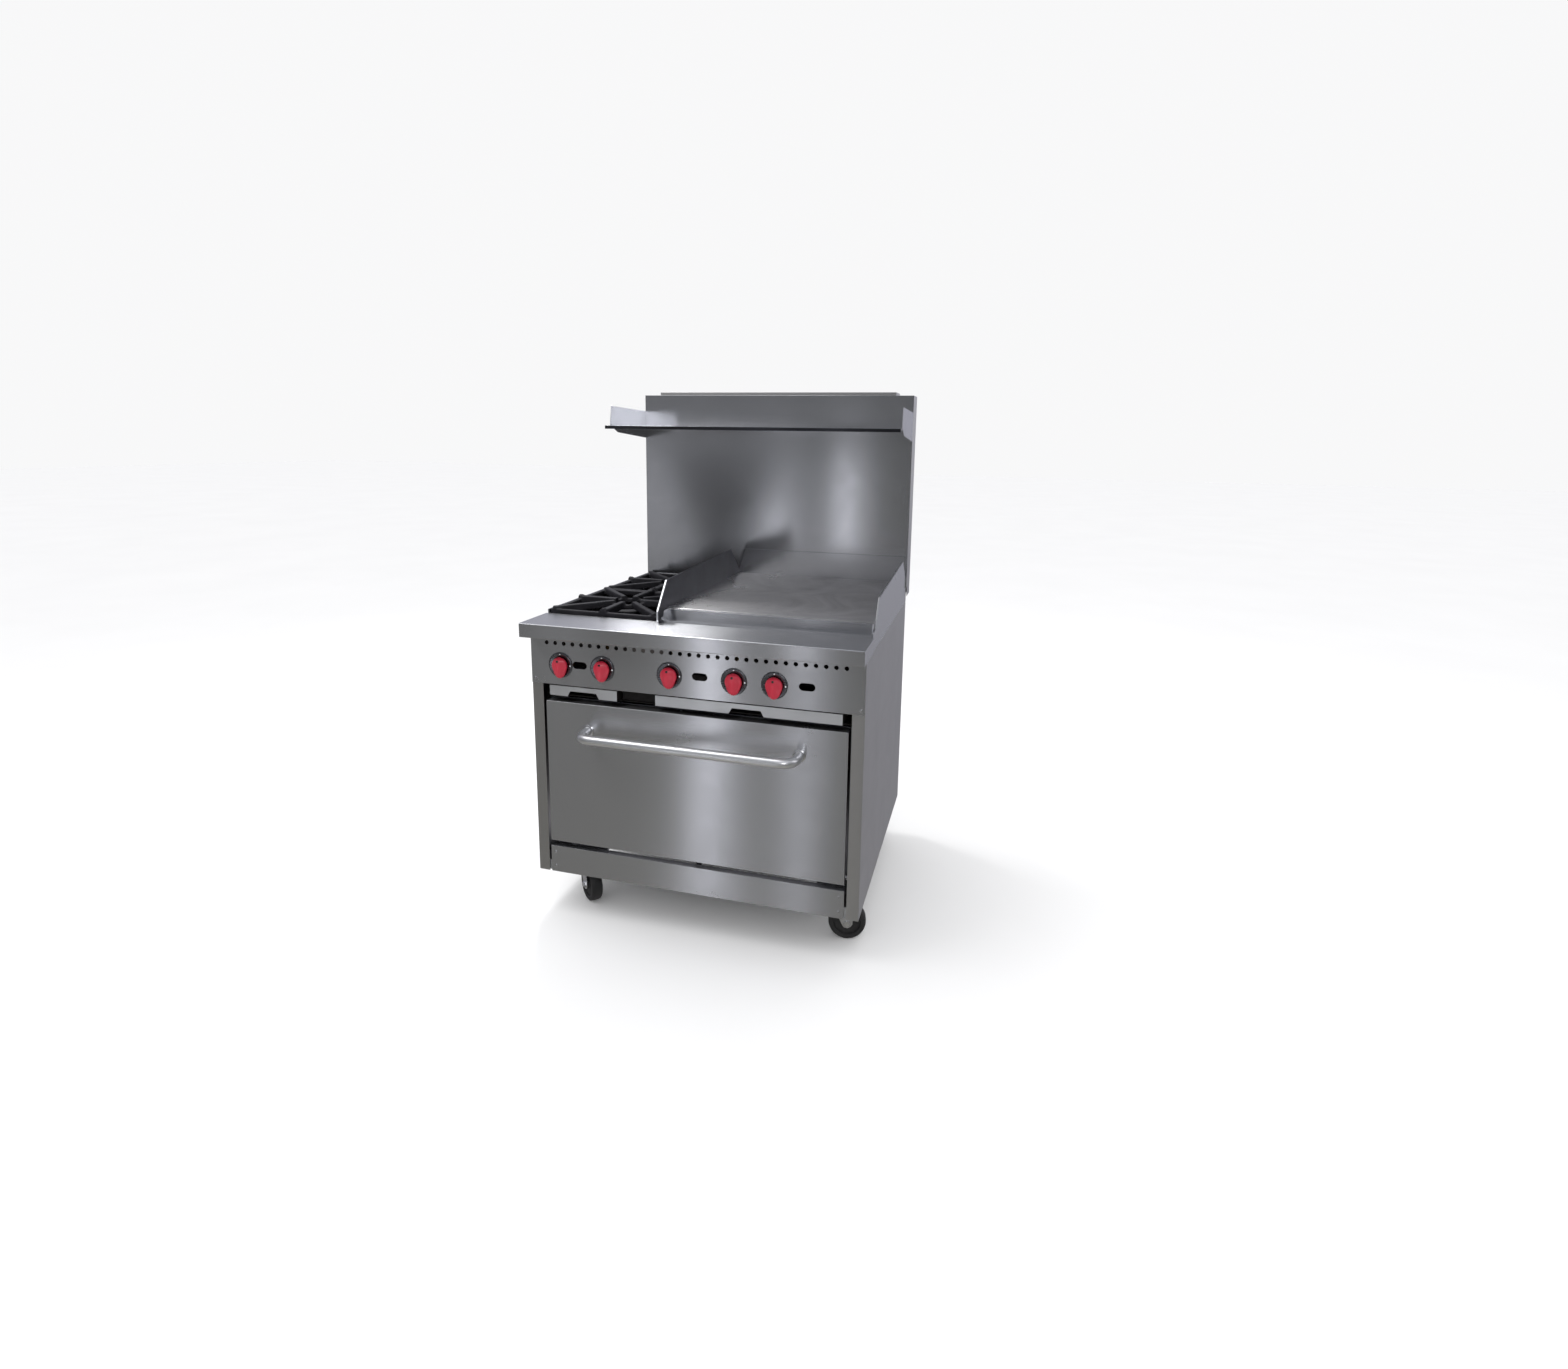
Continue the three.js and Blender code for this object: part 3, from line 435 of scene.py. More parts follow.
def obround(x, z, length, height, steps=10):
    """A slot with round ends."""
    radius = height / 2
    reach = length / 2 - radius
    points = []
    for sign in (1, -1):
        for i in range(steps + 1):
            angle = math.pi * i / steps - math.pi / 2
            points.append((x + sign * (reach + radius * math.cos(angle)),
                           z + sign * radius * math.sin(angle)))
    return points


def pierced_sheet(name, outer, holes, thickness, edge):
    """A flat sheet in the XZ plane with holes, its edges eased, as a mesh at y = 0."""
    curve = bpy.data.curves.new(name, "CURVE")
    curve.dimensions = "2D"
    curve.fill_mode = "BOTH"
    curve.extrude = thickness / 2 - edge
    curve.bevel_depth = edge
    curve.bevel_resolution = 1
    curve.offset = -edge
    for loop in (outer, *holes):
        spline = curve.splines.new("POLY")
        spline.points.add(len(loop) - 1)
        for point, (a, b) in zip(spline.points, loop):
            point.co = (a, b, 0.0, 1.0)
        spline.use_cyclic_u = True
    holder = bpy.data.objects.new(name, curve)
    bpy.context.scene.collection.objects.link(holder)
    bpy.context.view_layer.update()
    shaped = holder.evaluated_get(bpy.context.evaluated_depsgraph_get())
    mesh = bpy.data.meshes.new_from_object(shaped)
    bpy.data.objects.remove(holder)
    bpy.data.curves.remove(curve)
    bm = bmesh.new()
    bm.from_mesh(mesh)
    bpy.data.meshes.remove(mesh)
    bmesh.ops.remove_doubles(bm, verts=bm.verts, dist=1e-6)
    bmesh.ops.rotate(bm, verts=bm.verts, matrix=Matrix.Rotation(math.pi / 2, 3, "X"))
    return bm


def tube(bm, path, radius, sides=24):
    """A round bar along a path of points."""
    rings = []
    side = None
    for i, point in enumerate(path):
        before, after = path[max(i - 1, 0)], path[min(i + 1, len(path) - 1)]
        along = (after - before).normalized()
        if side is None:
            side = along.orthogonal().normalized()
        side = (side - along * side.dot(along)).normalized()
        other = along.cross(side)
        rings.append([point + radius * (math.cos(a) * side + math.sin(a) * other)
                      for a in (2 * math.pi * k / sides for k in range(sides))])
    skin(bm, rings)


def bend(centre, start, end, steps=8):
    """Points on a quarter turn about centre, from one arm to the other."""
    return [Vector(centre) + math.cos(t) * Vector(start) + math.sin(t) * Vector(end)
            for t in (math.pi / 2 * k / steps for k in range(steps + 1))]


# ------------------------------------------------------- CAD pieces kept as are

def dress(names, material, edge):
    for name in names:
        piece = NODES[name]
        piece.data.materials.clear()
        piece.data.materials.append(material)
        soften(piece, edge)


dress(["front_ledge", "kick_panel", "top_frame", "shelf_bracket_left", "shelf_bracket_right"],
      STAINLESS, 0.5 * MM)
dress(["riser_front", "griddle_splash_rear"], RISER_STEEL, 0.5 * MM)
dress(["shelf"], SHELF_STEEL, 0.5 * MM)
dress(["door_outer"], STAINLESS, 2.5 * MM)
dress(["grease_trough", "griddle_splash_right", "door_inner"], STAINLESS, 0.4 * MM)
dress(["side_panel_left", "side_panel_right", "riser_rear"], SIDE_STEEL, 0.6 * MM)
dress(["griddle_plate"], GRIDDLE, 0.8 * MM)
# The left griddle splash carries the painted dark reflection on its faces.
dress(["griddle_splash_left"], DARK_REFLECTION_STEEL, 0.6 * MM)
dress(["base_frame"], ZINC, 0.4 * MM)
dress(["rear_panel"], REAR_ZINC, 0.4 * MM)
dress(["tray_deck", "grease_drawer"], SOOTED, 0.4 * MM)
dress(["drip_tray_left", "drip_tray_right"], TRAY_METAL, 0.3 * MM)
dress(["griddle_burner_left", "griddle_burner_right", "oven_burner", "manifold_pipe"],
      IRON, 1.0 * MM)
dress(["valve_burner_front", "valve_burner_rear", "valve_griddle_left", "valve_griddle_right",
       "gas_regulator", "oven_thermostat"], BRASS, 1.0 * MM)
dress(["oven_liner"], ENAMEL, 0.5 * MM)
dress(["door_gasket"], ROPE, 2.0 * MM)
dress(["door_hinge_rod"], BRIGHT, 0.5 * MM)
dress([f"caster_plate_{side}_{place}" for side in ("front", "rear") for place in ("left", "right")],
      PLATED, 0.6 * MM)


# --------------------------------------------------------------- control panel

KNOBS = ["knob_burner_front", "knob_burner_rear", "knob_griddle_left", "knob_griddle_right",
         "knob_oven"]
KNOB_AT = {name: span(name)[2] for name in KNOBS}
KNOB_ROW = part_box("valve_burner_front")[0].z + 14 * MM  # the valve stems' centre line


def control_panel():
    low, high, _ = span("control_panel")
    vent_count, vent_pitch, vent_radius = 33, 25.4 * MM, 5.6 * MM
    vent_row = high.z - 20.7 * MM
    holes = [circle((i - (vent_count - 1) / 2) * vent_pitch, vent_row, vent_radius, 24)
             for i in range(vent_count)]
    holes += [circle(KNOB_AT[name].x, KNOB_ROW, 7 * MM, 32) for name in KNOBS]
    for x in (-310.4 * MM, 28.2 * MM, 308.9 * MM):
        holes.append(obround(x, KNOB_ROW + 3 * MM, 41.5 * MM, 19.5 * MM))
    outer = [(low.x, low.z), (high.x, low.z), (high.x, high.z), (low.x, high.z)]
    bm = pierced_sheet("control_panel_sheet", outer, holes, SHEET, 0.25 * MM)
    bmesh.ops.translate(bm, verts=bm.verts, vec=(0, low.y + SHEET / 2, 0))
    block(bm, (-418 * MM, low.y + 1.2 * MM, low.z + 0.1 * MM), (418 * MM, high.y, low.z + SHEET))
    show("control_panel_face", bm, STAINLESS, "cabinet", ["control_panel"],
         smooth=10.0)


GRIP_RADIUS, GRIP_BEAK, SKIRT_RADIUS = 22.3, 12.6, 19.0  # in mm


def knob(name):
    """An egg-shaped grip, narrow end down, with a raised spine, on a round skirt."""
    low, high, _ = span(name)
    centre = Vector((KNOB_AT[name].x, 0, KNOB_ROW))
    sides = 72

    def ring(depth, scale, crease=0.0, round_share=0.0):
        points = []
        for i in range(sides):
            angle = 2 * math.pi * i / sides
            across, up = math.cos(angle), math.sin(angle)
            reach = GRIP_RADIUS + GRIP_BEAK * max(0.0, -up) ** 4.8
            reach = (reach * (1 - round_share) + SKIRT_RADIUS * round_share) * scale * MM
            x, z = reach * across, reach * up
            y = depth + crease * min(1.0, abs(x) / (17 * MM)) ** 1.2
            points.append(centre + Vector((x, y, z)))
        return points

    back, front = high.y, low.y
    bm = bmesh.new()
    skin(bm, [
        ring(back, 0.96, round_share=1.0), ring(back - 0.8 * MM, 1.0, round_share=1.0),
        ring(back - 3.4 * MM, 1.0, round_share=1.0), ring(back - 4.1 * MM, 0.96, round_share=0.5),
        ring(back - 4.6 * MM, 1.0), ring(back - 7.0 * MM, 0.99),
        ring(front + 9.0 * MM, 0.95, 1.6 * MM), ring(front + 6.0 * MM, 0.88, 4.0 * MM),
        ring(front + 3.6 * MM, 0.79, 6.2 * MM), ring(front + 1.9 * MM, 0.68, 7.4 * MM),
        ring(front + 0.8 * MM, 0.54, 8.0 * MM), ring(front + 0.25 * MM, 0.36, 8.2 * MM),
        ring(front, 0.15, 8.2 * MM),
    ])
    show(f"{name}_grip", bm, RED, name, [name], smooth=38.0)

    dot = bmesh.new()
    turned(dot, in_mm((0.4, 0), (2.7, 0), (3.1, 0.4), (3.1, 3), (0.4, 3)),
           centre + Vector((0, front + 0.7 * MM, 13.5 * MM)), Y, 20)
    show(f"{name}_pointer", dot, BLACK_PAINT, name)


def bezel(name):
    """The marked ring on the panel behind a knob."""
    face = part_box("control_panel")[0].y
    centre = Vector((KNOB_AT[name].x, face, KNOB_ROW))
    bm = bmesh.new()
    turned(bm, in_mm((20, 0), (34.6, 0), (34.8, 1), (34, 2.6), (32.6, 3.4), (30.8, 3.4),
                     (27.5, 2.4), (21.5, 1.8), (20, 1.4)), centre, -Y, 72, closed=True)
    place = name.removeprefix("knob_")
    show(f"bezel_{place}", bm, BEZEL, "cabinet")

    marks = bmesh.new()
    for degrees, size in ((0, 2.0), (90, 1.6)):
        angle = math.radians(degrees)
        at = centre + Vector((29.6 * math.cos(angle), -2.7, 29.6 * math.sin(angle))) * MM
        turned(marks, in_mm((0.2, 0), (size, 0), (size, 0.5), (0.6 * size, 0.9), (0.2, 0.9)),
               at, -Y, 20)
    show(f"bezel_marks_{place}", marks, WHITE_PAINT, "cabinet")


control_panel()
for knob_name in KNOBS:
    knob(knob_name)
    bezel(knob_name)


# --------------------------------------------------------------- door handle

def door_handle():
    low, high, centre = span("door_handle")
    radius = (high.z - low.z) / 2
    turn = 36 * MM
    post, out, root = high.x - radius, low.y + radius, high.y
    path = [Vector((-post, root, centre.z))]
    path += bend((-post + turn, out + turn, centre.z), -turn * X, -turn * Y)
    path += bend((post - turn, out + turn, centre.z), -turn * Y, turn * X)
    path.append(Vector((post, root, centre.z)))
    bm = bmesh.new()
    tube(bm, path, radius, 32)
    show("handle_tube", bm, SATIN, "door", ["door_handle"], smooth=50.0)
    collars = bmesh.new()
    for sign in (-1, 1):
        turned(collars, in_mm((12.9, 0), (17, 0), (17, 1.2), (15.2, 2.6), (12.9, 3)),
               (sign * post, root, centre.z), -Y, 40, closed=True)
    show("handle_collars", collars, BRIGHT, "door")


door_handle()


# ------------------------------------------------------------- grates, burners

def tapered_bar(bm, start, end, widths, heights, draft=0.75):
    """A cast bar: narrower on top, with its own width and height at each end."""
    along = (Vector(end) - Vector(start)).normalized()
    side = Z.cross(along).normalized()
    rings = []
    for point, width, (bottom, top) in zip((start, end), widths, heights):
        base = Vector(point)
        rings.append([base + side * width / 2 + Z * bottom, base - side * width / 2 + Z * bottom,
                      base - side * width * draft / 2 + Z * top,
                      base + side * width * draft / 2 + Z * top])
    skin(bm, rings)


def cast(name, bm, body, stands_for):
    """Fuses overlapping solids into one casting with soft edges."""
    piece = show(name, bm, IRON, body, stands_for)
    remesh = piece.modifiers.new("cast", "REMESH")
    remesh.mode = "VOXEL"
    remesh.voxel_size = 2.4 * MM
    remesh.use_smooth_shade = True
    smooth = piece.modifiers.new("soft", "SMOOTH")
    smooth.factor = 0.5
    smooth.iterations = 2
    return piece


HORN = [(-17, 0), (17, 0), (17, 15), (11, 17), (3.5, 27.4), (-3.5, 27.4), (-11, 17), (-17, 15)]


def grate(name):
    """Rim, hub ring, eight broad fingers that narrow inward, and four pointed horns."""
    low, high, centre = span(name)
    floor = low.z + 0.3 * MM
    top = high.z - 4 * MM
    half = Vector((high.x - low.x, high.y - low.y, 0)) / 2 - Vector((0.6, 0.6, 0)) * MM
    rail, ring = 13 * MM, 48 * MM
    rail_top = floor + 16 * MM
    flat_centre = Vector((centre.x, centre.y, 0))
    bm = bmesh.new()
    for sign in (-1, 1):
        for along, across, length, reach in ((X, Y, half.x, half.y), (Y, X, half.y, half.x)):
            middle = flat_centre + across * sign * (reach - rail / 2)
            tapered_bar(bm, middle - along * length, middle + along * length, (rail, rail),
                        ((floor, rail_top),) * 2, 0.85)
            outer = flat_centre + across * sign * (reach - 1 * MM)
            inner = flat_centre + across * sign * (ring - 10 * MM)
            tapered_bar(bm, outer, inner, (26 * MM, 22 * MM),
                        ((floor + 2 * MM, top), (floor + 6 * MM, top)), 0.72)
            skin(bm, [[middle + along * a * MM + Z * (floor + b * MM) + across * sign * depth
                       for a, b in HORN] for depth in (rail / 2, -rail / 2)])
    for sx in (-1, 1):
        for sy in (-1, 1):
            corner = flat_centre + Vector((sx * (half.x - 7 * MM), sy * (half.y - 7 * MM), 0))
            inward = flat_centre - corner
            inner = corner + inward * (1 - (ring - 4 * MM) / inward.length)
            tapered_bar(bm, corner, inner, (24 * MM, 20 * MM),
                        ((floor + 1 * MM, top - 1 * MM), (floor + 7 * MM, top)), 0.7)
    turned(bm, in_mm((41, 4), (54, 2), (53, 16), (43, 16)), (centre.x, centre.y, floor), Z, 48,
           closed=True)
    cast(f"{name}_casting", bm, name, [name])


def burner(name, valve):
    """Ported head on a stem, with its mixing tube forward to the valve."""
    low, high, _ = span(name)
    at = span(name.replace("burner", "grate"))[2]
    mouth_x = span(valve)[2].x
    top = high.z
    tube_z = low.z + 16 * MM
    bm = bmesh.new()
    turned(bm, in_mm((10, -48), (18, -48), (19, -20), (40, -16), (45.5, -13), (45.5, -8),
                     (43, -7), (43, -5.4), (45, -4.6), (43, -2.6), (32, -1.6), (14, 0), (4, 0)),
           (at.x, at.y, top), Z, 64)
    show(f"{name}_head", bm, IRON, "cabinet", [name], smooth=40.0)
    ports = bmesh.new()
    count = 30
    for i in range(count):
        turn = Matrix.Translation((at.x, at.y, top))
        turn = turn @ Matrix.Rotation(2 * math.pi * i / count, 4, "Z")
        block(ports, (42 * MM, -1.6 * MM, -12 * MM), (46 * MM, 1.6 * MM, -4.9 * MM), turn)
    show(f"{name}_ports", ports, IRON, "cabinet")
    pipe = bmesh.new()
    elbow = 16 * MM
    offset = 1 if mouth_x > at.x else -1
    run = [Vector((at.x, at.y, tube_z))]
    run += bend((mouth_x - offset * elbow, at.y - elbow, tube_z), elbow * Y, offset * elbow * X)
    run.append(Vector((mouth_x, low.y + 20 * MM, tube_z)))
    tube(pipe, run, 11 * MM, 24)
    turned(pipe, in_mm((9, 0), (16, 0), (16, 8), (11.2, 26), (9, 26)),
           (mouth_x, low.y, tube_z), Y, 32, closed=True)
    show(f"{name}_venturi", pipe, IRON, "cabinet")


for place in ("front", "rear"):
    grate(f"grate_{place}")
    burner(f"burner_{place}", f"valve_burner_{place}")


# ------------------------------------------------------------------- oven rack

def oven_rack():
    low, high, _ = span("oven_rack")
    wire = 3 * MM
    level = high.z - wire
    left, right = low.x + wire, high.x - wire
    front, rear = low.y + wire, high.y - wire
    bm = bmesh.new()
    corner = 10 * MM
    rim = bend((right - corner, rear - corner, level), corner * X, corner * Y)
    rim += bend((left + corner, rear - corner, level), corner * Y, -corner * X)
    rim += bend((left + corner, front + corner, level), -corner * X, -corner * Y)
    rim += bend((right - corner, front + corner, level), -corner * Y, corner * X)
    rim.append(rim[0].copy())
    tube(bm, rim, wire, 12)
    count = 19
    for i in range(1, count + 1):
        x = left + (right - left) * i / (count + 1)
        tube(bm, [Vector((x, front, level)), Vector((x, rear, level))], 1.5 * MM, 8)
    for share in (0.33, 0.67):
        y = front + (rear - front) * share
        below = level - 1.5 * MM
        tube(bm, [Vector((left, y, below)), Vector((right, y, below))], 1.4 * MM, 8)
    show("oven_rack_wires", bm, CHROME, "cabinet", ["oven_rack"])


oven_rack()


# --------------------------------------------------------------------- casters

def upright_ring(shape, centre, along, across, offset):
    return [centre + along * a + Z * b + across * offset for a, b in shape]


def caster(place):
    fork, wheel, plate = f"caster_fork_{place}", f"caster_wheel_{place}", f"caster_plate_{place}"
    hub = span(wheel)[2]
    pivot = span(plate)[2]
    trail = Vector((hub.x - pivot.x, hub.y - pivot.y, 0))
    along = trail.normalized()
    across = Z.cross(along)
    radius = hub.z
    half = 16 * MM
    rim = 13 * MM
    bm = bmesh.new()
    side = [(radius, 3 * MM), (radius - 0.3 * MM, rim - 4 * MM),
            (radius - 1.8 * MM, half - 2.2 * MM), (radius - 5 * MM, half),
            (radius - 13.5 * MM, half - 1.2 * MM), (radius - 16 * MM, half - 5 * MM),
            (16.5 * MM, half - 3.5 * MM), (15 * MM, half - 1 * MM), (6.2 * MM, half - 1 * MM)]
    profile = [(reach, -depth) for reach, depth in reversed(side)] + side
    turned(bm, profile, hub, across, 72, closed=True)
    show(f"{wheel}_tyre", bm, RUBBER, wheel, [wheel], smooth=30.0)

    legs = bmesh.new()
    crown = 108 * MM
    shape = in_mm((-25, 104), (-22, 110), (30, 110), (36, 100), (50, 60), (50, 48), (45, 40),
                  (36, 35.5), (26, 38), (21, 46), (10, 70), (-18, 96))
    centre = Vector((pivot.x, pivot.y, 0))
    for sign in (-1, 1):
        inner, outer = sign * (half + 2 * MM), sign * (half + 5 * MM)
        skin(legs, [upright_ring(shape, centre, along, across, d) for d in (inner, outer)])
    end = half + 5 * MM
    corners = [(-25 * MM, -end), (30 * MM, -end), (30 * MM, end), (-25 * MM, end)]
    skin(legs, [[centre + along * a + across * b + Z * z for a, b in corners]
                for z in (crown - 1.5 * MM, crown + 3.5 * MM)])
    piece = show(f"{fork}_yoke", legs, PLATED, fork, [fork], smooth=30.0)
    soften(piece, 1.0 * MM, 3)

    race = bmesh.new()
    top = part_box(plate)[0].z - 0.3 * MM
    turned(race, [(8 * MM, crown + 2 * MM), (24 * MM, crown + 2 * MM),
                  (27.5 * MM, crown + 4.5 * MM), (28 * MM, crown + 8 * MM),
                  (25 * MM, crown + 10 * MM), (25 * MM, crown + 11 * MM),
                  (28 * MM, top - 2 * MM), (26 * MM, top), (8 * MM, top)],
           centre, Z, 48, closed=True)
    turned(race, [(1 * MM, crown - 8 * MM), (7 * MM, crown - 8 * MM), (8 * MM, crown - 6 * MM),
                  (8 * MM, crown - 1 * MM), (1 * MM, crown - 1 * MM)], centre, Z, 6)
    show(f"{fork}_race", race, PLATED, fork)

    bolt = bmesh.new()
    turned(bolt, [(1 * MM, -end - 5 * MM), (8 * MM, -end - 5 * MM), (9 * MM, -end - 4 * MM),
                  (9 * MM, -end), (1 * MM, -end)], hub, across, 6)
    turned(bolt, [(1 * MM, end), (9.5 * MM, end), (9.5 * MM, end + 5.5 * MM),
                  (8 * MM, end + 7 * MM), (1 * MM, end + 7 * MM)], hub, across, 6)
    turned(bolt, [(0.5 * MM, -end - 0.5 * MM), (4.9 * MM, -end - 0.5 * MM),
                  (4.9 * MM, end + 0.5 * MM), (0.5 * MM, end + 0.5 * MM)], hub, across, 24)
    show(f"{fork}_axle", bolt, BRIGHT, fork)


for caster_place in ("front_left", "front_right", "rear_left", "rear_right"):
    caster(caster_place)


# ---------------------------------------------------------------------- screws

def screws(name, places, outward):
    """Pan-head screws with a cross recess, seated on a face of the cabinet."""
    radius = 4.2 * MM
    bm = bmesh.new()
    for place in places:
        turned(bm, [(0.5 * MM, -0.4 * MM), (radius, -0.4 * MM), (radius, 0.6 * MM),
                    (radius * 0.88, 1.6 * MM), (radius * 0.6, 2.2 * MM), (0.5 * MM, 2.4 * MM)],
               place, outward, 24)
    show(name, bm, BRIGHT, "cabinet")
    recess = bmesh.new()
    basis = outward.normalized().to_track_quat("Z", "Y").to_matrix().to_4x4()
    for place in places:
        turn = Matrix.Translation(place) @ basis
        for a, b in ((radius * 0.5, 0.45 * MM), (0.45 * MM, radius * 0.5)):
            block(recess, (-a, -b, 1.9 * MM), (a, b, 2.45 * MM), turn)
    show(f"{name}_recess", recess, BLACK_PAINT, "cabinet")


def all_screws():
    low, high, _ = span("control_panel")
    screws("panel_screws", [Vector((sign * (high.x - 10 * MM), low.y, low.z + 12 * MM))
                            for sign in (-1, 1)], -Y)
    low, high, _ = span("kick_panel")
    screws("kick_screws", [Vector((sign * (high.x - 14 * MM), low.y, z))
                           for sign in (-1, 1) for z in (low.z + 18 * MM, high.z - 18 * MM)], -Y)
    low, high, _ = span("rear_panel")
    rows = [low.z + 40 * MM + (high.z - low.z - 120 * MM) * k / 3 for k in range(4)]
    screws("rear_screws", [Vector((sign * (high.x - 30 * MM), high.y, z))
                           for sign in (-1, 1) for z in rows], Y)


all_screws()


# ---------------------------------------------------------- floor, light, camera

def studio_floor():
    look = Look("studio_floor")
    cloud = look.noise(look.place, scale=1.3, detail=3.0)
    paper = look.noise(look.place, scale=240.0, detail=2.0)
    shade = look.mix(look.span(cloud, 0.3, 0.7), (0.87, 0.87, 0.875), (0.89, 0.89, 0.895))
    look.finish(shade, 0.9, look.bump(paper, 0.05, 0.0005))
    bm = bmesh.new()
    bmesh.ops.create_grid(bm, x_segments=1, y_segments=1, size=30.0)
    mesh = bpy.data.meshes.new("studio_floor")
    bm.to_mesh(mesh)
    bm.free()
    floor = bpy.data.objects.new("studio_floor", mesh)
    bpy.context.scene.collection.objects.link(floor)
    mesh.materials.append(look.material)
    floor.visible_glossy = False


def softbox(name, at, aim, width, height, watts):
    """A square-cornered lamp at one place, aimed at another."""
    data = bpy.data.lights.new(name, "AREA")
    data.shape = "RECTANGLE"
    data.size, data.size_y = width, height
    data.energy = watts
    lamp = bpy.data.objects.new(name, data)
    bpy.context.scene.collection.objects.link(lamp)
    lamp.location = at
    lamp.rotation_mode = "QUATERNION"
    lamp.rotation_quaternion = (Vector(aim) - Vector(at)).to_track_quat("-Z", "Y")
    lamp.visible_camera = False


CARD_TINT = (0.93, 0.94, 1.0)


def card(name, y, corners, level, fade):
    """An upright board that shows only in reflections. Its sides fade out over a
    share of its width."""
    look = Look(name)
    look.tree.nodes.remove(look.shader)
    across = look.axis(look.add("TexCoord").outputs["Generated"], 0)
    edge = look.ramp(across, (0.0, 0.0), (fade, 1.0), (1.0 - fade, 1.0), (1.0, 0.0))
    glow = look.add("Emission", Color=(*CARD_TINT, 1.0),
                    Strength=look.math("MULTIPLY", edge, level))
    output = next(n for n in look.tree.nodes if n.type == "OUTPUT_MATERIAL")
    look.feed(output.inputs["Surface"], glow.outputs[0])
    look.material.cycles.emission_sampling = "NONE"
    bm = bmesh.new()
    bm.faces.new([bm.verts.new((x, y, z)) for x, z in corners])
    mesh = bpy.data.meshes.new(name)
    bm.to_mesh(mesh)
    bm.free()
    board = bpy.data.objects.new(name, mesh)
    bpy.context.scene.collection.objects.link(board)
    mesh.materials.append(look.material)
    for flag in ("visible_camera", "visible_diffuse", "visible_shadow", "visible_transmission",
                 "visible_volume_scatter"):
        setattr(board, flag, False)


def strip(name, x, y, width, low, high, level, fade=0.5):
    """An upright card given by its middle, width, foot and top."""
    left, right = x - width / 2, x + width / 2
    card(name, y, [(left, low), (right, low), (right, high), (left, high)], level, fade)


def studio_world():
    """A pale studio: white to the camera, an even dome for matt surfaces, and a
    darker room with a paler rear wall in reflections."""
    world = bpy.data.worlds.new("studio")
    world.use_nodes = True
    bpy.context.scene.world = world
    tree = world.node_tree

    def add(kind, **settings):
        node = tree.nodes.new("ShaderNode" + kind)
        for key, value in settings.items():
            setattr(node, key, value)
        return node

    def ramp(source, low, high, stops):
        scale = add("MapRange")
        scale.inputs[1].default_value, scale.inputs[2].default_value = low, high
        tree.links.new(source, scale.inputs[0])
        node = add("ValToRGB")
        elements = node.color_ramp.elements
        while len(elements) < len(stops):
            elements.new(0.5)
        for element, (place, colour) in zip(elements, stops):
            element.position = (place - low) / (high - low)
            element.color = (*colour, 1.0)
        tree.links.new(scale.outputs[0], node.inputs[0])
        return node.outputs["Color"]

    def mix(share, a, b):
        node = add("Mix", data_type="RGBA")
        tree.links.new(share, node.inputs[0])
        for socket, value in ((node.inputs[6], a), (node.inputs[7], b)):
            if isinstance(value, tuple):
                socket.default_value = (*value, 1.0)
            else:
                tree.links.new(value, socket)
        return node.outputs[2]

    direction = add("SeparateXYZ")
    tree.links.new(add("TexCoord").outputs["Generated"], direction.inputs[0])
    rise, depth = direction.outputs[2], direction.outputs[1]
    ahead = ramp(rise, -1.0, 1.0, [
        (-1.0, (0.30, 0.29, 0.27)), (-0.5, (0.26, 0.256, 0.238)), (-0.25, (0.171, 0.17, 0.160)),
        (0.0, (0.14, 0.142, 0.146)), (0.35, (0.22, 0.225, 0.24)), (1.0, (0.60, 0.61, 0.64))])
    behind = ramp(rise, -1.0, 1.0, [
        (-1.0, (0.30, 0.29, 0.29)), (-0.2, (0.30, 0.30, 0.33)), (0.1, (0.42, 0.42, 0.49)),
        (1.0, (0.60, 0.61, 0.66))])
    side = ramp(depth, -0.25, 0.5, [(-0.25, (0.0, 0.0, 0.0)), (0.5, (1.0, 1.0, 1.0))])
    room = mix(side, ahead, behind)
    rays = add("LightPath")
    lit = mix(rays.outputs["Is Diffuse Ray"], room, (1.12, 1.12, 1.125))
    seen = mix(rays.outputs["Is Camera Ray"], lit, (0.94, 0.94, 0.945))
    tree.links.new(seen, tree.nodes["Background"].inputs["Color"])
    world.cycles.sampling_method = "NONE"


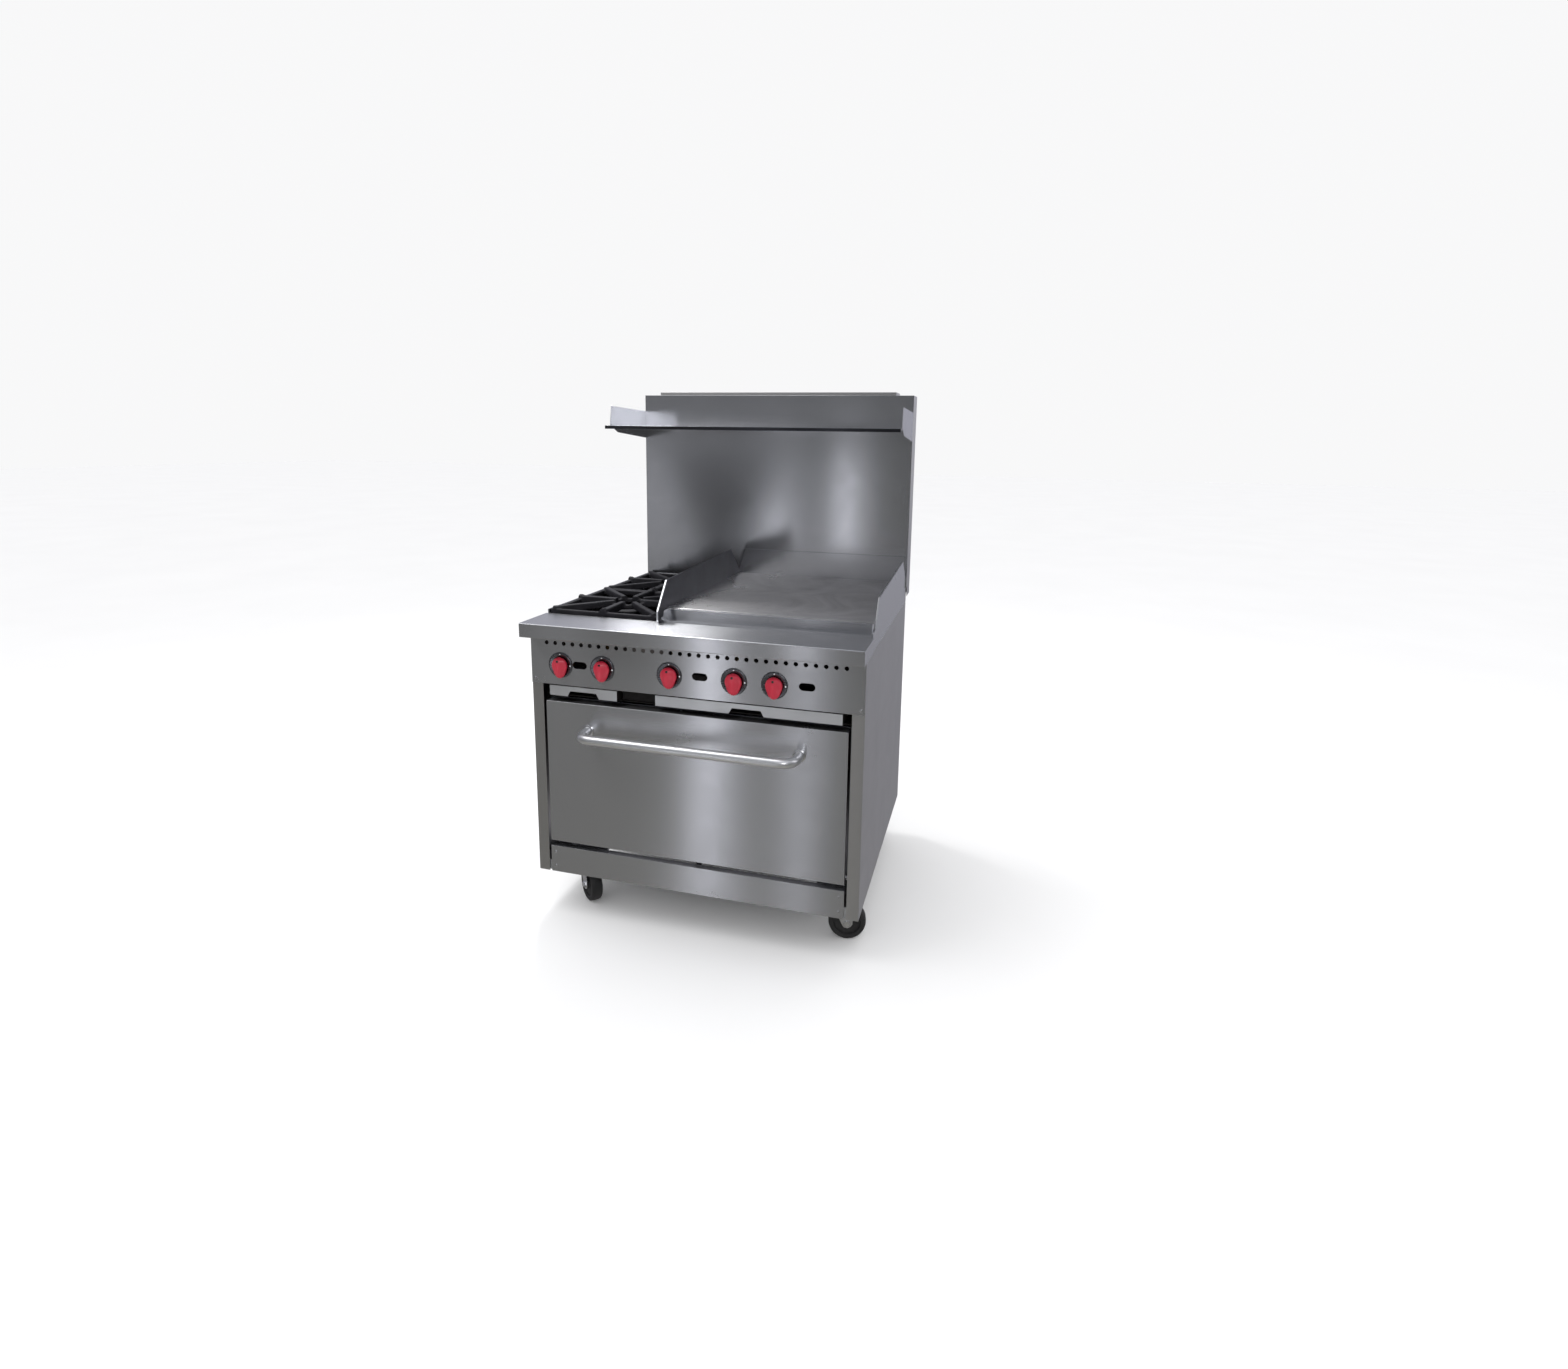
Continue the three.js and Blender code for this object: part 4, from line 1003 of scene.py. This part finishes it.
def studio_light():
    studio_world()
    softbox("key_overhead", (-1.3, -0.9, 3.2), (0.0, 0.0, 0.7), 2.0, 2.0, 28)
    softbox("ledge_streak", (-1.0, 0.9, 2.75), (-0.11, -0.4, 0.845), 0.3, 0.9, 22)
    softbox("fill_front", (1.6, -3.6, 2.4), (0.0, 0.0, 0.6), 1.6, 1.2, 10)
    softbox("fill_right", (3.4, 0.2, 2.0), (0.0, 0.0, 0.6), 1.4, 1.4, 8)
    strip("streak_near_low", -0.89, -2.95, 0.24, -3.0, -0.5, 2.3)
    strip("streak_near", -0.89, -2.95, 0.24, -0.5, 0.4, 3.4)
    strip("streak_near_high", -0.91, -2.95, 0.22, 0.4, 0.7, 2.9)
    strip("streak_far_low", -0.617, -4.24, 0.26, -3.0, 0.0, 1.6)
    strip("streak_far_high", -0.617, -4.24, 0.26, 0.0, 1.21, 2.7)
    strip("pale_wall", -2.1, -4.7, 2.1, 0.0, 1.35, 0.52, fade=0.1)
    strip("bracket_card", 1.7, 3.7, 1.2, 0.9, 2.4, 2.2)
    strip("left_bracket_card", 1.7, -4.2, 1.4, 1.65, 2.9, 6.0)
    card("dark_banner", -2.4, [(-1.28, 0.5), (-1.04, 0.5), (-0.72, 1.22), (-1.6, 1.22)],
         0.085, 0.01)


WIDE_LENS = 18.62334
EYE = (0.7470, -2.2506, 1.3304)
EYE_TURN = (-15.03, -9.9, 0.86)  # yaw, pitch and roll, in degrees


def camera():
    """From the cook's right and above, at standing height."""
    data = bpy.data.cameras.new("camera")
    data.sensor_width = 36.0
    data.lens = WIDE_LENS
    data.shift_y = -0.0666
    eye = bpy.data.objects.new("camera", data)
    bpy.context.scene.collection.objects.link(eye)
    yaw, pitch, roll = (math.radians(angle) for angle in EYE_TURN)
    ahead = Vector((math.sin(yaw) * math.cos(pitch), math.cos(yaw) * math.cos(pitch),
                    math.sin(pitch)))
    right = Vector((math.cos(yaw), -math.sin(yaw), 0.0))
    up = right.cross(ahead)
    right, up = (math.cos(roll) * right + math.sin(roll) * up,
                 math.cos(roll) * up - math.sin(roll) * right)
    turn = Matrix((right, up, -ahead)).transposed().to_4x4()
    eye.matrix_world = Matrix.Translation(EYE) @ turn
    bpy.context.scene.camera = eye


studio_floor()
studio_light()
camera()
bpy.context.scene.view_settings.view_transform = "Standard"
